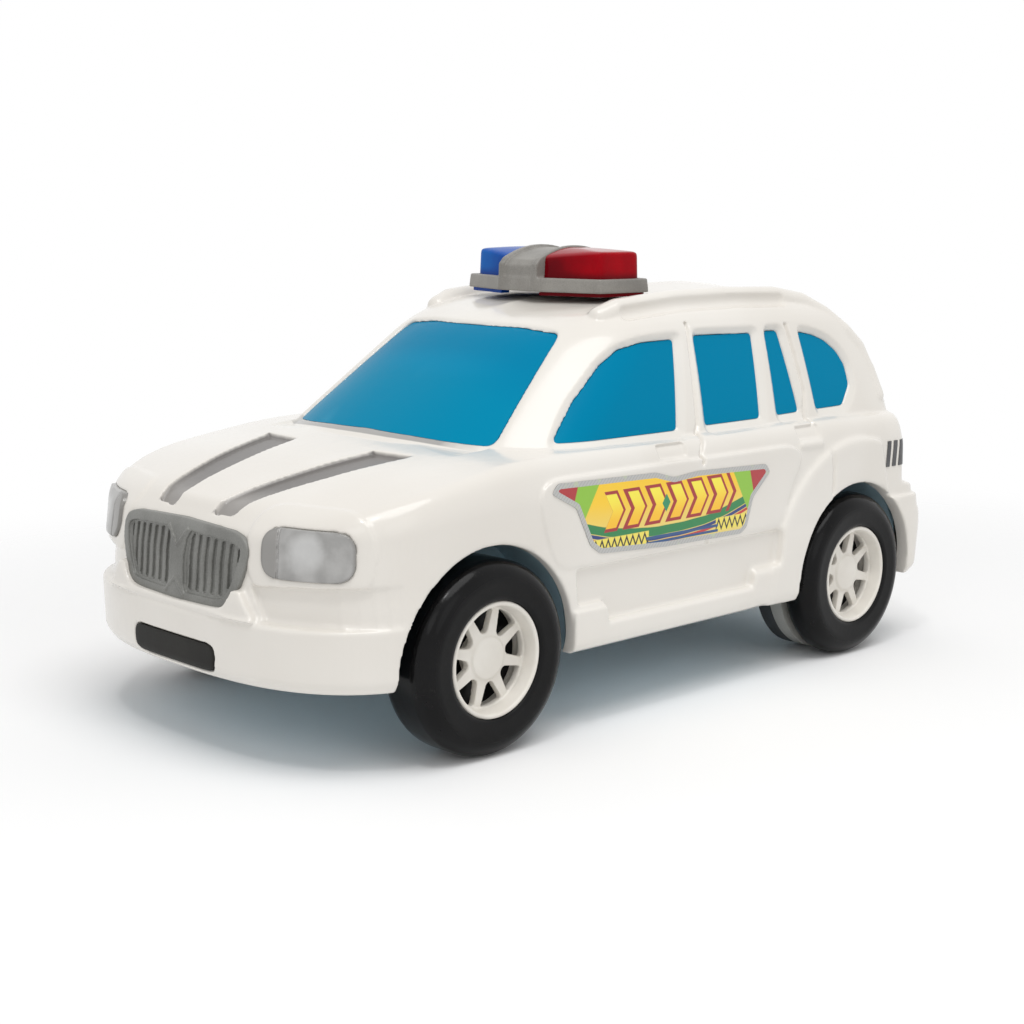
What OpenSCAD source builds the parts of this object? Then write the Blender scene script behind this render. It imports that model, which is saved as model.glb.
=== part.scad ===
// Toy patrol car: a hollow shell with a blue window moulding, a floor tray, rolling wheels
// and a flywheel drive geared to the rear axle.
// Millimetres, +X forward, +Y to the car's left, +Z up, ground at z = 0, origin midway along.

/* [Overall] */
// length over both bumpers
overall_length = 252; // [248:1:258]
// width over the wheels
overall_width = 124; // [122:1:126]
// height to the top of the light bar
overall_height = 124.5; // [122:0.5:128]
// wall of the body shell
shell_wall = 1.8; // [1.6:0.1:2]
// wall of the window moulding
liner_wall = 1.4; // [1.2:0.1:1.6]
// air between the shell and the pieces inside it
inner_gap = 0.3; // [0.25:0.05:0.4]
// slip between pieces that are fixed to each other
seat_gap = 0.05; // [0.04:0.01:0.08]
// extra reach of a cutting shape past the face it opens
overrun = 1; // [0.8:0.1:1.5]

/* [Body trim] */
// thickness that stands behind a plate set into the shell
seat_depth = 3.6; // [3.4:0.1:4]
// depth of the pockets that the lamps and plates sit in
pocket_depth = 1.7; // [1.5:0.1:1.8]
// how far a lamp or the grille stands out of the shell
trim_proud = 0.7; // [0.5:0.1:1]
// how far the haunch over the rear wheels stands out
haunch_proud = 1.3; // [1:0.1:1.5]
// how far the rear bumper stands out
bumper_proud = 1.26; // [1:0.02:1.4]
// how far the door panel stands out
door_proud = 0.5; // [0.4:0.1:0.8]
// depth of the running board step
board_depth = 1.5; // [1.2:0.1:1.7]
// depth of the pressed lines and the bonnet flashes
line_depth = 0.5; // [0.4:0.05:0.7]
// width of a door line
line_width = 0.8; // [0.6:0.1:1]
// thickness of a sticker
sticker_thickness = 0.2; // [0.15:0.05:0.3]
// radius of the roof rails
rail_radius = 2.4; // [2.2:0.1:2.8]
// width of a slot in the grille
slot_width = 1.7; // [1.4:0.1:2]
// depth of a slot in the grille
slot_depth = 1.2; // [0.9:0.1:1.4]

/* [Wheels] */
// outer radius of every tyre
tyre_radius = 25; // [24:0.5:26]
// distance between the axles
wheelbase = 153.2; // [151:0.2:155]
// distance of the middle of the wheelbase behind the middle of the car
wheel_setback = 5; // [4.5:0.1:5.5]
// space between tyre and wheel arch
arch_gap = 3.5; // [3:0.1:4]
// thickness of the wheel wells in the floor tray
well_wall = 1.5; // [1.3:0.1:1.8]
// width of a front tyre
front_tyre_width = 16.8; // [16:0.1:17.5]
// width of a rear tyre
rear_tyre_width = 10.8; // [10:0.1:11.5]
// width of the pale drive wheel behind a rear tyre
drive_wheel_width = 4.2; // [3.8:0.1:4.6]
// width of the grip ring behind the drive wheel
grip_ring_width = 4.8; // [4.4:0.1:5.2]
// how far the drive wheel and grip ring stay below the tread
drive_wheel_relief = 0.5; // [0.4:0.1:0.8]
// thickness of the grip ring
grip_ring_wall = 4; // [3:0.1:5]
// rounding of the tyre shoulder
tyre_shoulder = 5; // [4:0.1:5.5]
// set-back of the rim edge from the bulge of the tyre
tyre_bulge = 0.5; // [0.3:0.1:0.8]
// radius of the wheel rim
rim_radius = 14.9; // [14.4:0.1:15.4]
// wall of the wheel rim
rim_wall = 1.7; // [1.5:0.1:2]
// depth of the spoked face behind the rim edge
dish_depth = 4; // [3.5:0.1:4.5]
// thickness of the spoked face
spoke_plate = 2; // [1.8:0.1:2.4]
// number of spokes
spoke_count = 8; // [6:1:10]
// width of a spoke
spoke_width = 3.2; // [2.8:0.1:3.6]
// radius of the wheel centre
cap_radius = 5.5; // [5:0.1:6]
// how far the wheel centre stands out of the spoked face
cap_proud = 0.6; // [0.4:0.1:1]
// depth of the wheel centre boss behind the spoked face
boss_depth = 7; // [6:0.5:8]
// radius of the axles
axle_radius = 1.5; // [1.4:0.05:1.6]
// clearance of a turning shaft in its bore
running_clearance = 0.06; // [0.04:0.01:0.09]

/* [Floor tray] */
// thickness of the floor
floor_thickness = 2.2; // [2:0.1:2.6]
// depth of the belly pan below the floor
belly_depth = 5.5; // [5.4:0.1:5.8]
// half width of the belly pan
belly_half_width = 36; // [34:0.5:37]
// half length of an axle block
block_half_length = 6; // [5.5:0.1:7]
// width of an axle block
block_width = 6; // [5:0.1:7]
// cover above the axle in its block
block_cover = 4.5; // [4:0.1:5.5]
// radius of a screw post in the shell
post_radius = 4.2; // [4:0.1:4.6]
// radius of a screw shank
screw_radius = 1.3; // [1.2:0.05:1.4]
// radius of a screw head
screw_head_radius = 2.6; // [2.4:0.1:2.8]
// height of a screw head
screw_head_height = 1.4; // [1.2:0.1:1.5]
// length of a screw below its head
screw_length = 10; // [9:0.5:12]
// width of a screwdriver slot
driver_slot = 0.7; // [0.6:0.05:0.8]

/* [Light bar] */
// depth of the light bar along the car
bar_depth = 34; // [32:0.5:35]
// half width of the light bar
bar_half_width = 28; // [27:0.5:29]
// length of the bar's end facet
bar_end_depth = 16; // [15:0.5:18]
// thickness of the bar's base rim
bar_rim = 4; // [3.6:0.1:4.4]
// set-back of the lenses from the edge of the base
lens_set_back = 3.4; // [3.2:0.1:3.6]
// wall of a lens
lens_wall = 1.3; // [1.1:0.1:1.5]
// width of the strap across the bar
strap_width = 15.4; // [14:0.2:17]
// thickness of the strap over the lenses
strap_wall = 1.4; // [1.2:0.1:1.6]
// drop of the lens tops below the strap
lens_drop = 2.4; // [2.2:0.1:2.8]
// height of the lens flange under the base
lens_flange = 1.0; // [0.9:0.1:1.2]
// radius of a bar peg
peg_radius = 2; // [1.8:0.1:2.2]
// length of a bar peg through the roof
peg_length = 5; // [4.5:0.1:5.5]

/* [Flywheel drive] */
// module of the first gear pair
module_one = 0.6; // [0.58:0.01:0.62]
// module of the second gear pair
module_two = 0.5; // [0.48:0.01:0.52]
// teeth of the gear on the axle
axle_teeth = 20; // [20:1:20]
// teeth of the small gears
pinion_teeth = 10; // [10:1:10]
// teeth of the large idler gear
idler_teeth = 26; // [26:1:26]
// face width of a gear
gear_width = 4; // [3.6:0.1:4.2]
// air on each side of a gear
gear_air = 1; // [0.9:0.1:1.1]
// slack between meshing teeth
backlash = 0.12; // [0.1:0.01:0.15]
// wall of the gear case
case_wall = 1.5; // [1.4:0.1:1.7]
// air around a gear in the case
case_air = 0.5; // [0.4:0.1:0.6]
// radius of the idler pin and flywheel shaft
pin_radius = 1; // [0.9:0.05:1.1]
// radius of the flywheel
flywheel_radius = 12.5; // [12:0.1:12.8]
// thickness of the flywheel
flywheel_width = 4.5; // [4:0.1:5]
// length of a foot of the gear case
foot_length = 9; // [8.5:0.1:10]
// thickness of a foot of the gear case
foot_thickness = 2; // [1.8:0.1:2.4]

/* [Hidden] */

// faces of round parts
fine = 64;
// faces of round cuts in the shell
coarse = 48;
// steps of an outline: quarter at each end, straight side
quarter = 7;
side_steps = 3;
half_steps = 2 * quarter + side_steps;
ring = 2 * half_steps;
ease_steps = 2;

half_width = overall_width / 2;
wheel_middle = -wheel_setback;
front_x = wheel_middle + wheelbase / 2;
rear_x = wheel_middle - wheelbase / 2;
axle_z = tyre_radius;
arch_radius = tyre_radius + arch_gap;

// Lower body, from the sill up: height, nose, tail and half width as shares of the car's own.
body_level_shares = [
  [0.169, 0.492, -0.484, 0.945],
  [0.190, 0.499, -0.493, 0.966],
  [0.292, 0.500, -0.495, 0.974],
  [0.308, 0.490, -0.495, 0.974],
  [0.336, 0.490, -0.494, 0.973],
  [0.346, 0.489, -0.490, 0.971],
  [0.400, 0.487, -0.486, 0.968],
  [0.412, 0.486, -0.466, 0.967]
];
// the bend under the shoulder: its place between the last level and the shoulder, nose, tail and half width
bend_shares = [0.66, 0.482, -0.465, 0.962];
// where the rounded nose begins, and how deep the rounded tail is, as shares of the length
nose_round_share = 0.318;
tail_depth_share = 0.050;
nose_power = 2.8;
tail_power = 2.5;
// shoulder of the body: place along the car against height
shoulder_shares = [
  [-0.5, 0.580], [-0.3, 0.590], [0, 0.591], [0.16, 0.590], [0.22, 0.584], [0.28, 0.569],
  [0.35, 0.547], [0.42, 0.513], [0.46, 0.489], [0.5, 0.470]
];
shoulder_nose_share = 0.470;
shoulder_tail_share = -0.462;
shoulder_width_share = 0.925;
// ridge of the bonnet and of the deck under the cabin
ridge_shares = [
  [-0.46, 0.585], [-0.4, 0.600], [0.15, 0.602], [0.23, 0.602], [0.29, 0.586], [0.35, 0.566],
  [0.42, 0.534], [0.45, 0.514]
];
ridge_nose_share = 0.446;
ridge_tail_share = -0.448;
inboard_share = 0.34;
inboard_rise_share = 0.7;
// easing at each bend of the body section, from the sill up
body_ease_shares = [0, 0.3, 0, 0, 0, 0, 0, 0, 0.45, 0.5, 0.5, 0];

// Cabin: nose, tail, half width and height of its foot and waist, and of the roof edge.
cabin_foot_shares = [0.294, -0.470, 0.895, 0.545];
cabin_waist_shares = [0.194, -0.464, 0.802, 0.700];
roof_edge_shares = [0.100, -0.404, 0.672];
roof_edge_height_shares = [
  [-0.41, 0.846], [-0.3, 0.874], [-0.15, 0.880], [-0.05, 0.876], [0.04, 0.858], [0.1, 0.828]
];
roof_ridge_nose_share = 0.035;
roof_ridge_tail_share = -0.335;
roof_ridge_shares = [
  [-0.34, 0.893], [-0.26, 0.905], [-0.18, 0.899], [-0.12, 0.886], [-0.04, 0.884], [0.04, 0.869]
];
cabin_nose_round_share = 0.16;
cabin_tail_round_share = 0.062;
cabin_nose_power = 2.3;
cabin_tail_power = 2.5;
cabin_ease_shares = [0, 0.5, 0.42, 0];
// how a wall's thickness shows along the car on the sloping windscreen, tailgate and cabin side
screen_inset_share = 1.6;
gate_inset_share = 1.2;
side_inset_share = 1.07;

// Side windows, place along the car against height.
front_window_shares = [
  [0.160, 0.602], [0.142, 0.634], [0.118, 0.676], [0.092, 0.713], [0.066, 0.750], [0.036, 0.781],
  [0.002, 0.794], [-0.046, 0.797], [-0.018, 0.602]
];
middle_window_shares = [[-0.085, 0.802], [-0.186, 0.799], [-0.167, 0.606], [-0.071, 0.605]];
strip_window_shares = [[-0.218, 0.801], [-0.235, 0.800], [-0.238, 0.610], [-0.205, 0.608]];
quarter_window_shares = [
  [-0.281, 0.794], [-0.308, 0.785], [-0.330, 0.769], [-0.348, 0.742], [-0.358, 0.708],
  [-0.358, 0.660], [-0.336, 0.613], [-0.282, 0.611]
];
// windscreen and tailgate window, half width against height
screen_window_shares = [
  [0, 0.822], [0.28, 0.822], [0.495, 0.812], [0.645, 0.597], [0.300, 0.607], [0, 0.611]
];
gate_window_shares = [[0, 0.795], [0.50, 0.790], [0.62, 0.655], [0, 0.650]];
// width of the pressed edge round a window, and its depth
window_edge = line_depth * 4;
window_edge_share = 0.5;
// height above which the edge is pressed
window_edge_foot_share = 0.604;

// Grille, intake and lamps seen from the front: half width against height.
grille_shares = [
  [0, 0.468], [0.16, 0.466], [0.34, 0.462], [0.405, 0.452], [0.430, 0.432], [0.420, 0.400],
  [0.385, 0.355], [0.350, 0.326], [0.315, 0.314], [0.26, 0.311], [0, 0.308]
];
intake_shares = [
  [0, 0.238], [0.24, 0.238], [0.275, 0.232], [0.285, 0.214], [0.275, 0.188], [0.24, 0.180], [0, 0.180]
];
lamp_width_share = 0.39;
lamp_height_share = 0.100;
lamp_y_share = 0.645;
lamp_z_share = 0.436;
lamp_turn = 34;
lamp_round_share = 0.42;
// bonnet flashes, place along the car against half width
flash_shares = [[0.474, 0.165], [0.460, 0.215], [0.278, 0.445], [0.288, 0.262]];

// Door panel, its sticker, the step above the running board and the rear badge.
door_shares = [
  [0.196, 0.357], [0.216, 0.450], [0.222, 0.520], [0.205, 0.546], [-0.190, 0.546], [-0.215, 0.520],
  [-0.190, 0.440], [-0.180, 0.362]
];
board_shares = [
  [0.168, 0.350], [0.165, 0.272], [0.124, 0.272], [0.120, 0.229], [-0.124, 0.229], [-0.128, 0.268],
  [-0.172, 0.268], [-0.176, 0.350]
];
decal_shares = [
  [0.200, 0.537], [0.208, 0.517], [0.172, 0.480], [0.150, 0.396], [0.135, 0.376], [0.030, 0.364],
  [-0.098, 0.360], [-0.108, 0.374], [-0.118, 0.440], [-0.148, 0.492], [-0.140, 0.512], [-0.020, 0.520],
  [0.020, 0.514], [0.050, 0.530]
];
badge_shares = [[-0.414, 0.546], [-0.444, 0.550], [-0.450, 0.498], [-0.418, 0.492]];
handle_share = 0.047;
handle_height_share = 0.034;
handle_places_shares = [[0.034, 0.567], [-0.212, 0.574]];
door_line_shares = [[-0.010, 0.610], [-0.057, 0.286]];
rail_shares = [
  [0.026, 0.535, 0.846], [0.004, 0.550, 0.862], [-0.080, 0.565, 0.874], [-0.180, 0.565, 0.874],
  [-0.290, 0.560, 0.863], [-0.350, 0.540, 0.840]
];
// screw posts: places along the car, half width of the front pair, height of the tops
front_post_shares = [0.385, 0.35];
rear_post_share = -0.440;
post_top_share = 0.400;
// belly pan ends and the arms of the haunch
belly_front_share = 0.155;
belly_back_share = -0.195;
haunch_inner_share = 1.45;
haunch_outer_share = 1.86;
// light bar place along the car and its underside
bar_x_share = -0.043;
bar_z_share = 0.895;
// where the strap turns over, along the car and in height
strap_crown_share = 0.17;
strap_shoulder_share = 0.72;
// gear train: angle of the idler seen from the axle and of the flywheel seen from the idler
idler_angle = 35;
flywheel_angle = 50;
pressure_angle = 25;
addendum_share = 0.8;
dedendum_share = 1.1;

function lx(s) = s * overall_length;
function wy(s) = s * half_width;
function hz(s) = s * overall_height;
function unit(v) = norm(v) > 0 ? v / norm(v) : v;
function place(s) = [lx(s[0]), hz(s[1])];
function front_place(s) = [wy(s[0]), hz(s[1])];
function mirrored(p) = concat(p, [for (i = [len(p) - 1:-1:0]) if (p[i][0] != 0) [-p[i][0], p[i][1]]]);

sill_z = hz(body_level_shares[0][0]);
floor_z = sill_z + overrun / 2;
floor_top = floor_z + floor_thickness;
distance_one = pitch_radius(module_one, axle_teeth + pinion_teeth);
distance_two = pitch_radius(module_two, idler_teeth + pinion_teeth);
axle_centre = [rear_x, axle_z];
idler_centre = axle_centre + distance_one * [cos(idler_angle), sin(idler_angle)];
flywheel_centre = idler_centre + distance_two * [cos(flywheel_angle), sin(flywheel_angle)];
opening_front = flywheel_centre[0] + wheel_tip(module_two, pinion_teeth) + case_air + case_wall + inner_gap;
opening_back = rear_x - wheel_tip(module_one, axle_teeth) - case_air - case_wall - inner_gap;
case_half = gear_width + 3 * gear_air / 2 + case_wall;
flywheel_y = -case_half - gear_air - flywheel_width;
flywheel_slot = 2 * (flywheel_radius + gear_air);
foot_x = [opening_back - foot_length, opening_front];
motor_screw_x = [foot_x[0] + foot_length / 2, foot_x[1] + foot_length / 2];
bar_x = lx(bar_x_share);
bar_z = hz(bar_z_share);
front_well_y = half_width - tyre_bulge - front_tyre_width - arch_gap;
rear_well_y = half_width - tyre_bulge - rear_tyre_width - drive_wheel_width - grip_ring_width - arch_gap;
post_places = [
  [lx(front_post_shares[0]), wy(front_post_shares[1])],
  [lx(rear_post_share), rear_well_y - well_wall - post_radius - screw_radius]
];

// one point of a half outline, counted from the nose to the tail
function outline(k, nose, tail, w, nose_round, tail_round, np, tp) =
  k <= quarter ?
    let (a = 90 * k / quarter)
    [nose_round + (nose - nose_round) * pow(cos(a), 2 / np), w * pow(sin(a), 2 / np)] :
  k >= quarter + side_steps ?
    let (a = 90 * (k - quarter - side_steps) / quarter)
    [tail_round + (tail - tail_round) * pow(sin(a), 2 / tp), w * pow(cos(a), 2 / tp)] :
  let (f = (k - quarter) / side_steps)
  [nose_round * (1 - f) + tail_round * f, w];

// points of a section with its bends eased
function eased(c, e) = [
  for (i = [0:len(c) - 1])
    each e[i] == 0 ? [c[i]] :
      let (
        d = e[i] * min(norm(c[i] - c[i - 1]), norm(c[i + 1] - c[i])),
        a = c[i] + d * unit(c[i - 1] - c[i]),
        b = c[i] + d * unit(c[i + 1] - c[i])
      )
      [for (t = [0:ease_steps])
        let (f = t / ease_steps, g = 1 - f)
        g * g * a + 2 * f * g * c[i] + f * f * b]
];

function spread(v, a, b, c, d) = c + (d - c) * (v - a) / (b - a);

// section p with its foot carried on downwards along its slope by drop
function dropped(p, drop) =
  concat([p[0] + (p[0] - p[1]) * drop / (p[1][2] - p[0][2])], [for (i = [1:len(p) - 1]) p[i]]);

// lower body section k, drawn in by d, with its foot lowered by drop
function body_section(k, d, drop) =
  let (
    nr = lx(nose_round_share),
    low = [for (i = [0:len(body_level_shares) - 1])
      let (
        s = body_level_shares[i],
        tr = lx(s[2] + tail_depth_share),
        o = outline(k, lx(s[1]) - d, lx(s[2]) + d, wy(s[3]) - d, nr, tr, nose_power, tail_power)
      )
      [o[0], o[1], hz(s[0])]],
    sn = lx(shoulder_nose_share),
    st = lx(shoulder_tail_share),
    sw = wy(shoulder_width_share),
    so = outline(k, sn - d, st + d, sw - d, nr, st + lx(tail_depth_share), nose_power, tail_power),
    sh = [so[0], so[1], hz(lookup(so[0] / overall_length, shoulder_shares)) - d],
    br = lx(bend_shares[2] + tail_depth_share),
    bn = lx(bend_shares[1]) - d,
    bt = lx(bend_shares[2]) + d,
    bo = outline(k, bn, bt, wy(bend_shares[3]) - d, nr, br, nose_power, tail_power),
    waist = low[len(low) - 1][2],
    bend = [bo[0], bo[1], waist + (sh[2] - waist) * bend_shares[0]],
    rx = spread(so[0], st + d, sn - d, lx(ridge_tail_share) + d, lx(ridge_nose_share) - d),
    rz = hz(lookup(rx / overall_length, ridge_shares)) - d,
    top = [rx, 0, rz],
    mid = [
      sh[0] + (top[0] - sh[0]) * inboard_share,
      sh[1] * (1 - inboard_share),
      sh[2] + (rz - sh[2]) * inboard_rise_share
    ]
  )
  eased(dropped(concat(low, [bend, sh, mid, top]), drop), body_ease_shares);

// one point of a cabin outline, drawn in at the nose, the tail and the side
function cabin_outline(k, s, dn, dt, ds) =
  let (nr = lx(s[0] - cabin_nose_round_share), tr = lx(s[1] + cabin_tail_round_share))
  outline(k, lx(s[0]) - dn, lx(s[1]) + dt, wy(s[2]) - ds, nr, tr, cabin_nose_power, cabin_tail_power);

// cabin section k, drawn in by d, with its foot lowered by drop
function cabin_section(k, d, drop) =
  let (
    dn = d * screen_inset_share,
    dt = d * gate_inset_share,
    ds = d * side_inset_share,
    low = [for (s = [cabin_foot_shares, cabin_waist_shares])
      let (o = cabin_outline(k, s, dn, dt, ds))
      [o[0], o[1], hz(s[3])]],
    r = roof_edge_shares,
    ro = cabin_outline(k, r, dn, dt, d),
    edge = [ro[0], ro[1], hz(lookup(ro[0] / overall_length, roof_edge_height_shares)) - d],
    rx = spread(ro[0], lx(r[1]) + dt, lx(r[0]) - dn, lx(roof_ridge_tail_share), lx(roof_ridge_nose_share)),
    top = [rx, 0, hz(lookup(rx / overall_length, roof_ridge_shares)) - d]
  )
  eased(dropped(concat(low, [edge, top]), drop), cabin_ease_shares);

function flip(p) = [p[0], -p[1], p[2]];

// closed solid from the half sections of a car body
module loft(sections) {
  last = len(sections[0]) - 1;
  rows = [for (j = [0:last - 1]) each [
    for (q = [0:ring - 1]) q <= half_steps ? sections[q][j] : flip(sections[ring - q][j])]];
  ridge = [for (k = [0:half_steps]) sections[k][last]];
  base = last * ring;
  function at(j, q) = j < last ? j * ring + q % ring :
    let (p = q % ring) base + (p <= half_steps ? p : ring - p);
  sides = [for (j = [0:last - 1]) for (q = [0:ring - 1]) each [
    [at(j, q), at(j + 1, q), at(j + 1, q + 1)],
    [at(j, q), at(j + 1, q + 1), at(j, q + 1)]]];
  foot = [[for (q = [0:ring - 1]) q]];
  polyhedron(points = concat(rows, ridge), faces = concat(foot, sides), convexity = 8);
}

module body(d = 0, drop = 0) {
  loft([for (k = [0:half_steps]) body_section(k, d, drop)]);
}

module cabin(d = 0, drop = 0) {
  loft([for (k = [0:half_steps]) cabin_section(k, d, drop)]);
}

// a piece of the body's skin, from d_out to d_in, over ring places q0 to q1 up to the shoulder
module skin(d_out, d_in, q0, q1) {
  rows_count = len(body_level_shares) + 1 + 2 * ease_steps;
  cols = q1 - q0;
  function spot(q, d) = let (k = q < 0 ? -q : q, s = body_section(k, d, 0)) q < 0 ? [for (p = s) flip(p)] : s;
  grid_out = [for (q = [q0:q1]) let (s = spot(q, d_out)) each [for (j = [0:rows_count]) s[j]]];
  grid_in = [for (q = [q0:q1]) let (s = spot(q, d_in)) each [for (j = [0:rows_count]) s[j]]];
  n = rows_count + 1;
  half = len(grid_out);
  function a(c, j) = c * n + j;
  function b(c, j) = half + c * n + j;
  faces_out = [for (c = [0:cols - 1]) for (j = [0:rows_count - 1]) each [
    [a(c, j), a(c, j + 1), a(c + 1, j + 1)], [a(c, j), a(c + 1, j + 1), a(c + 1, j)]]];
  faces_in = [for (c = [0:cols - 1]) for (j = [0:rows_count - 1]) each [
    [b(c, j), b(c + 1, j + 1), b(c, j + 1)], [b(c, j), b(c + 1, j), b(c + 1, j + 1)]]];
  rim_low = [for (c = [0:cols - 1]) each [
    [a(c, 0), a(c + 1, 0), b(c + 1, 0)], [a(c, 0), b(c + 1, 0), b(c, 0)]]];
  rim_top = [for (c = [0:cols - 1]) each [
    [a(c, rows_count), b(c + 1, rows_count), a(c + 1, rows_count)],
    [a(c, rows_count), b(c, rows_count), b(c + 1, rows_count)]]];
  rim_first = [for (j = [0:rows_count - 1]) each [
    [a(0, j), b(0, j + 1), a(0, j + 1)], [a(0, j), b(0, j), b(0, j + 1)]]];
  rim_last = [for (j = [0:rows_count - 1]) each [
    [a(cols, j), a(cols, j + 1), b(cols, j + 1)], [a(cols, j), b(cols, j + 1), b(cols, j)]]];
  polyhedron(points = concat(grid_out, grid_in),
    faces = concat(faces_out, faces_in, rim_low, rim_top, rim_first, rim_last), convexity = 6);
}

// flat shape in x and z, standing from y0 over a length along +Y
module along_y(y0, length) {
  translate([0, y0 + length, 0]) rotate([90, 0, 0]) linear_extrude(length, convexity = 6) children();
}

// flat shape in y and z, standing from x0 over a length along +X
module along_x(x0, length) {
  translate([x0, 0, 0]) rotate([90, 0, 90]) linear_extrude(length, convexity = 6) children();
}

module both_sides() {
  children();
  mirror([0, 1, 0]) children();
}

module rod(x, z, y0, length, r) {
  translate([x, y0, z]) rotate([-90, 0, 0]) cylinder(h = length, r = r, $fn = fine);
}

module window_shape(shares) {
  polygon([for (s = shares) place(s)]);
}

module side_openings(grow) {
  both_sides()
    along_y(half_width / 2, half_width)
      for (w = [front_window_shares, middle_window_shares, strip_window_shares, quarter_window_shares])
        offset(delta = grow) window_shape(w);
}

module end_openings(grow) {
  along_x(lx(roof_ridge_nose_share), overall_length / 2)
    offset(delta = grow) polygon(mirrored([for (s = screen_window_shares) front_place(s)]));
  along_x(-overall_length / 2 - overrun, overall_length / 5)
    offset(delta = grow) polygon(mirrored([for (s = gate_window_shares) front_place(s)]));
}

module lamp_outline(grow) {
  translate([lx(ridge_nose_share), wy(lamp_y_share), hz(lamp_z_share)])
    rotate([0, 0, lamp_turn])
      translate([-overall_length / 8, 0, 0])
        rotate([90, 0, 90])
          linear_extrude(overall_length / 4)
            offset(r = hz(lamp_height_share) * lamp_round_share + grow)
              square([
                wy(lamp_width_share) - 2 * hz(lamp_height_share) * lamp_round_share,
                hz(lamp_height_share) * (1 - 2 * lamp_round_share)
              ], center = true);
}

module grille_outline(grow) {
  along_x(lx(nose_round_share), overall_length / 4)
    offset(delta = grow) polygon(mirrored([for (s = grille_shares) front_place(s)]));
}

module intake_outline(grow) {
  along_x(lx(nose_round_share), overall_length / 4)
    offset(delta = grow) polygon(mirrored([for (s = intake_shares) front_place(s)]));
}

module board_outline(grow) {
  along_y(half_width / 2, half_width)
    offset(delta = grow) polygon([for (s = board_shares) place(s)]);
}

module coarse_rod(x, z, y0, length, r) {
  translate([x, y0, z]) rotate([-90, 0, 0]) cylinder(h = length, r = r, $fn = coarse);
}

module wheel_places() {
  for (x = [front_x, rear_x]) translate([x, 0, axle_z]) both_sides() children();
}

module arches() {
  wheel_places() {
    coarse_rod(0, 0, half_width * 2 / 3, half_width / 2, arch_radius);
    translate([-arch_radius, half_width * 2 / 3, -axle_z]) cube([2 * arch_radius, half_width / 2, axle_z]);
  }
}

module badge_outline(grow) {
  along_y(half_width / 2, half_width)
    offset(delta = grow) polygon([for (s = badge_shares) place(s)]);
}

// raised arches over the rear wheels, cut back from the badges
module haunches() {
  difference() {
    intersection() {
      body(-haunch_proud);
      both_sides()
        translate([rear_x, half_width / 2, axle_z]) rotate([-90, 0, 0])
          cylinder(h = half_width / 2, r1 = tyre_radius * haunch_outer_share,
            r2 = tyre_radius * (haunch_outer_share + haunch_inner_share) / 2, $fn = coarse);
    }
    both_sides() badge_outline(inner_gap);
  }
}

module rear_bumper() {
  intersection() {
    body(-bumper_proud);
    translate([-overall_length, -overall_width, 0])
      cube([overall_length + lx(tail_depth_share - 1 / 2), 2 * overall_width, hz(body_level_shares[4][0])]);
  }
}

door_face = wy(body_level_shares[6][3]) + door_proud;

module door_panels() {
  both_sides()
    along_y(door_face - shell_wall - door_proud, shell_wall + door_proud)
      polygon([for (s = door_shares) place(s)]);
}

module roof_rails() {
  both_sides()
    for (i = [0:len(rail_shares) - 2])
      hull()
        for (s = [rail_shares[i], rail_shares[i + 1]])
          translate([lx(s[0]), wy(s[1]), hz(s[2])]) sphere(r = rail_radius, $fn = 12);
}

module posts(r, z0, z1) {
  both_sides()
    for (p = post_places)
      translate([p[0], p[1], z0]) cylinder(h = z1 - z0, r = r, $fn = 20);
}

module post_webs() {
  reach = overall_length / 8;
  low = floor_top + inner_gap;
  both_sides()
    for (p = post_places)
      translate([p[0] - (p[0] < 0 ? reach : 0), p[1] - shell_wall / 2, low])
        cube([reach, shell_wall, hz(post_top_share) - low]);
}

module bar_pegs(r, length) {
  for (s = [-1, 1])
    translate([lx(bar_x_share) + s * bar_depth / 4, 0, bar_z - length])
      cylinder(h = length, r = r, $fn = 32);
}

module seats() {
  intersection() {
    union() {
      skin(shell_wall / 2, seat_depth, -quarter, quarter);
      skin(shell_wall / 2, seat_depth, quarter, quarter + side_steps);
      mirror([0, 1, 0]) skin(shell_wall / 2, seat_depth, quarter, quarter + side_steps);
    }
    union() {
      grille_outline(shell_wall);
      intake_outline(shell_wall);
      both_sides() lamp_outline(shell_wall);
      both_sides() board_outline(shell_wall);
    }
  }
}

module pockets() {
  difference() {
    union() {
      grille_outline(seat_gap);
      intake_outline(seat_gap);
      both_sides() lamp_outline(seat_gap);
    }
    body(pocket_depth + seat_gap, overrun);
  }
  difference() {
    both_sides() board_outline(0);
    body(board_depth, overrun);
  }
}

module pressed_lines() {
  difference() {
    both_sides() {
      linear_extrude(overall_height / 2 + overall_height / 8)
        polygon([for (s = flash_shares) [lx(s[0]), wy(s[1])]]);
      for (s = handle_places_shares)
        translate([lx(s[0] - handle_share / 2), half_width * 4 / 5, hz(s[1] - handle_height_share / 2)])
          cube([lx(handle_share), half_width, hz(handle_height_share)]);
    }
    body(line_depth, overrun);
  }
  both_sides()
    along_y(door_face - line_depth, half_width)
      hull()
        for (s = door_line_shares) translate(place(s)) square(line_width, center = true);
  difference() {
    side_openings(window_edge);
    cabin(shell_wall * window_edge_share, overrun);
    translate([-overall_length, -overall_width, 0])
      cube([2 * overall_length, 2 * overall_width, hz(window_edge_foot_share)]);
  }
}

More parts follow.
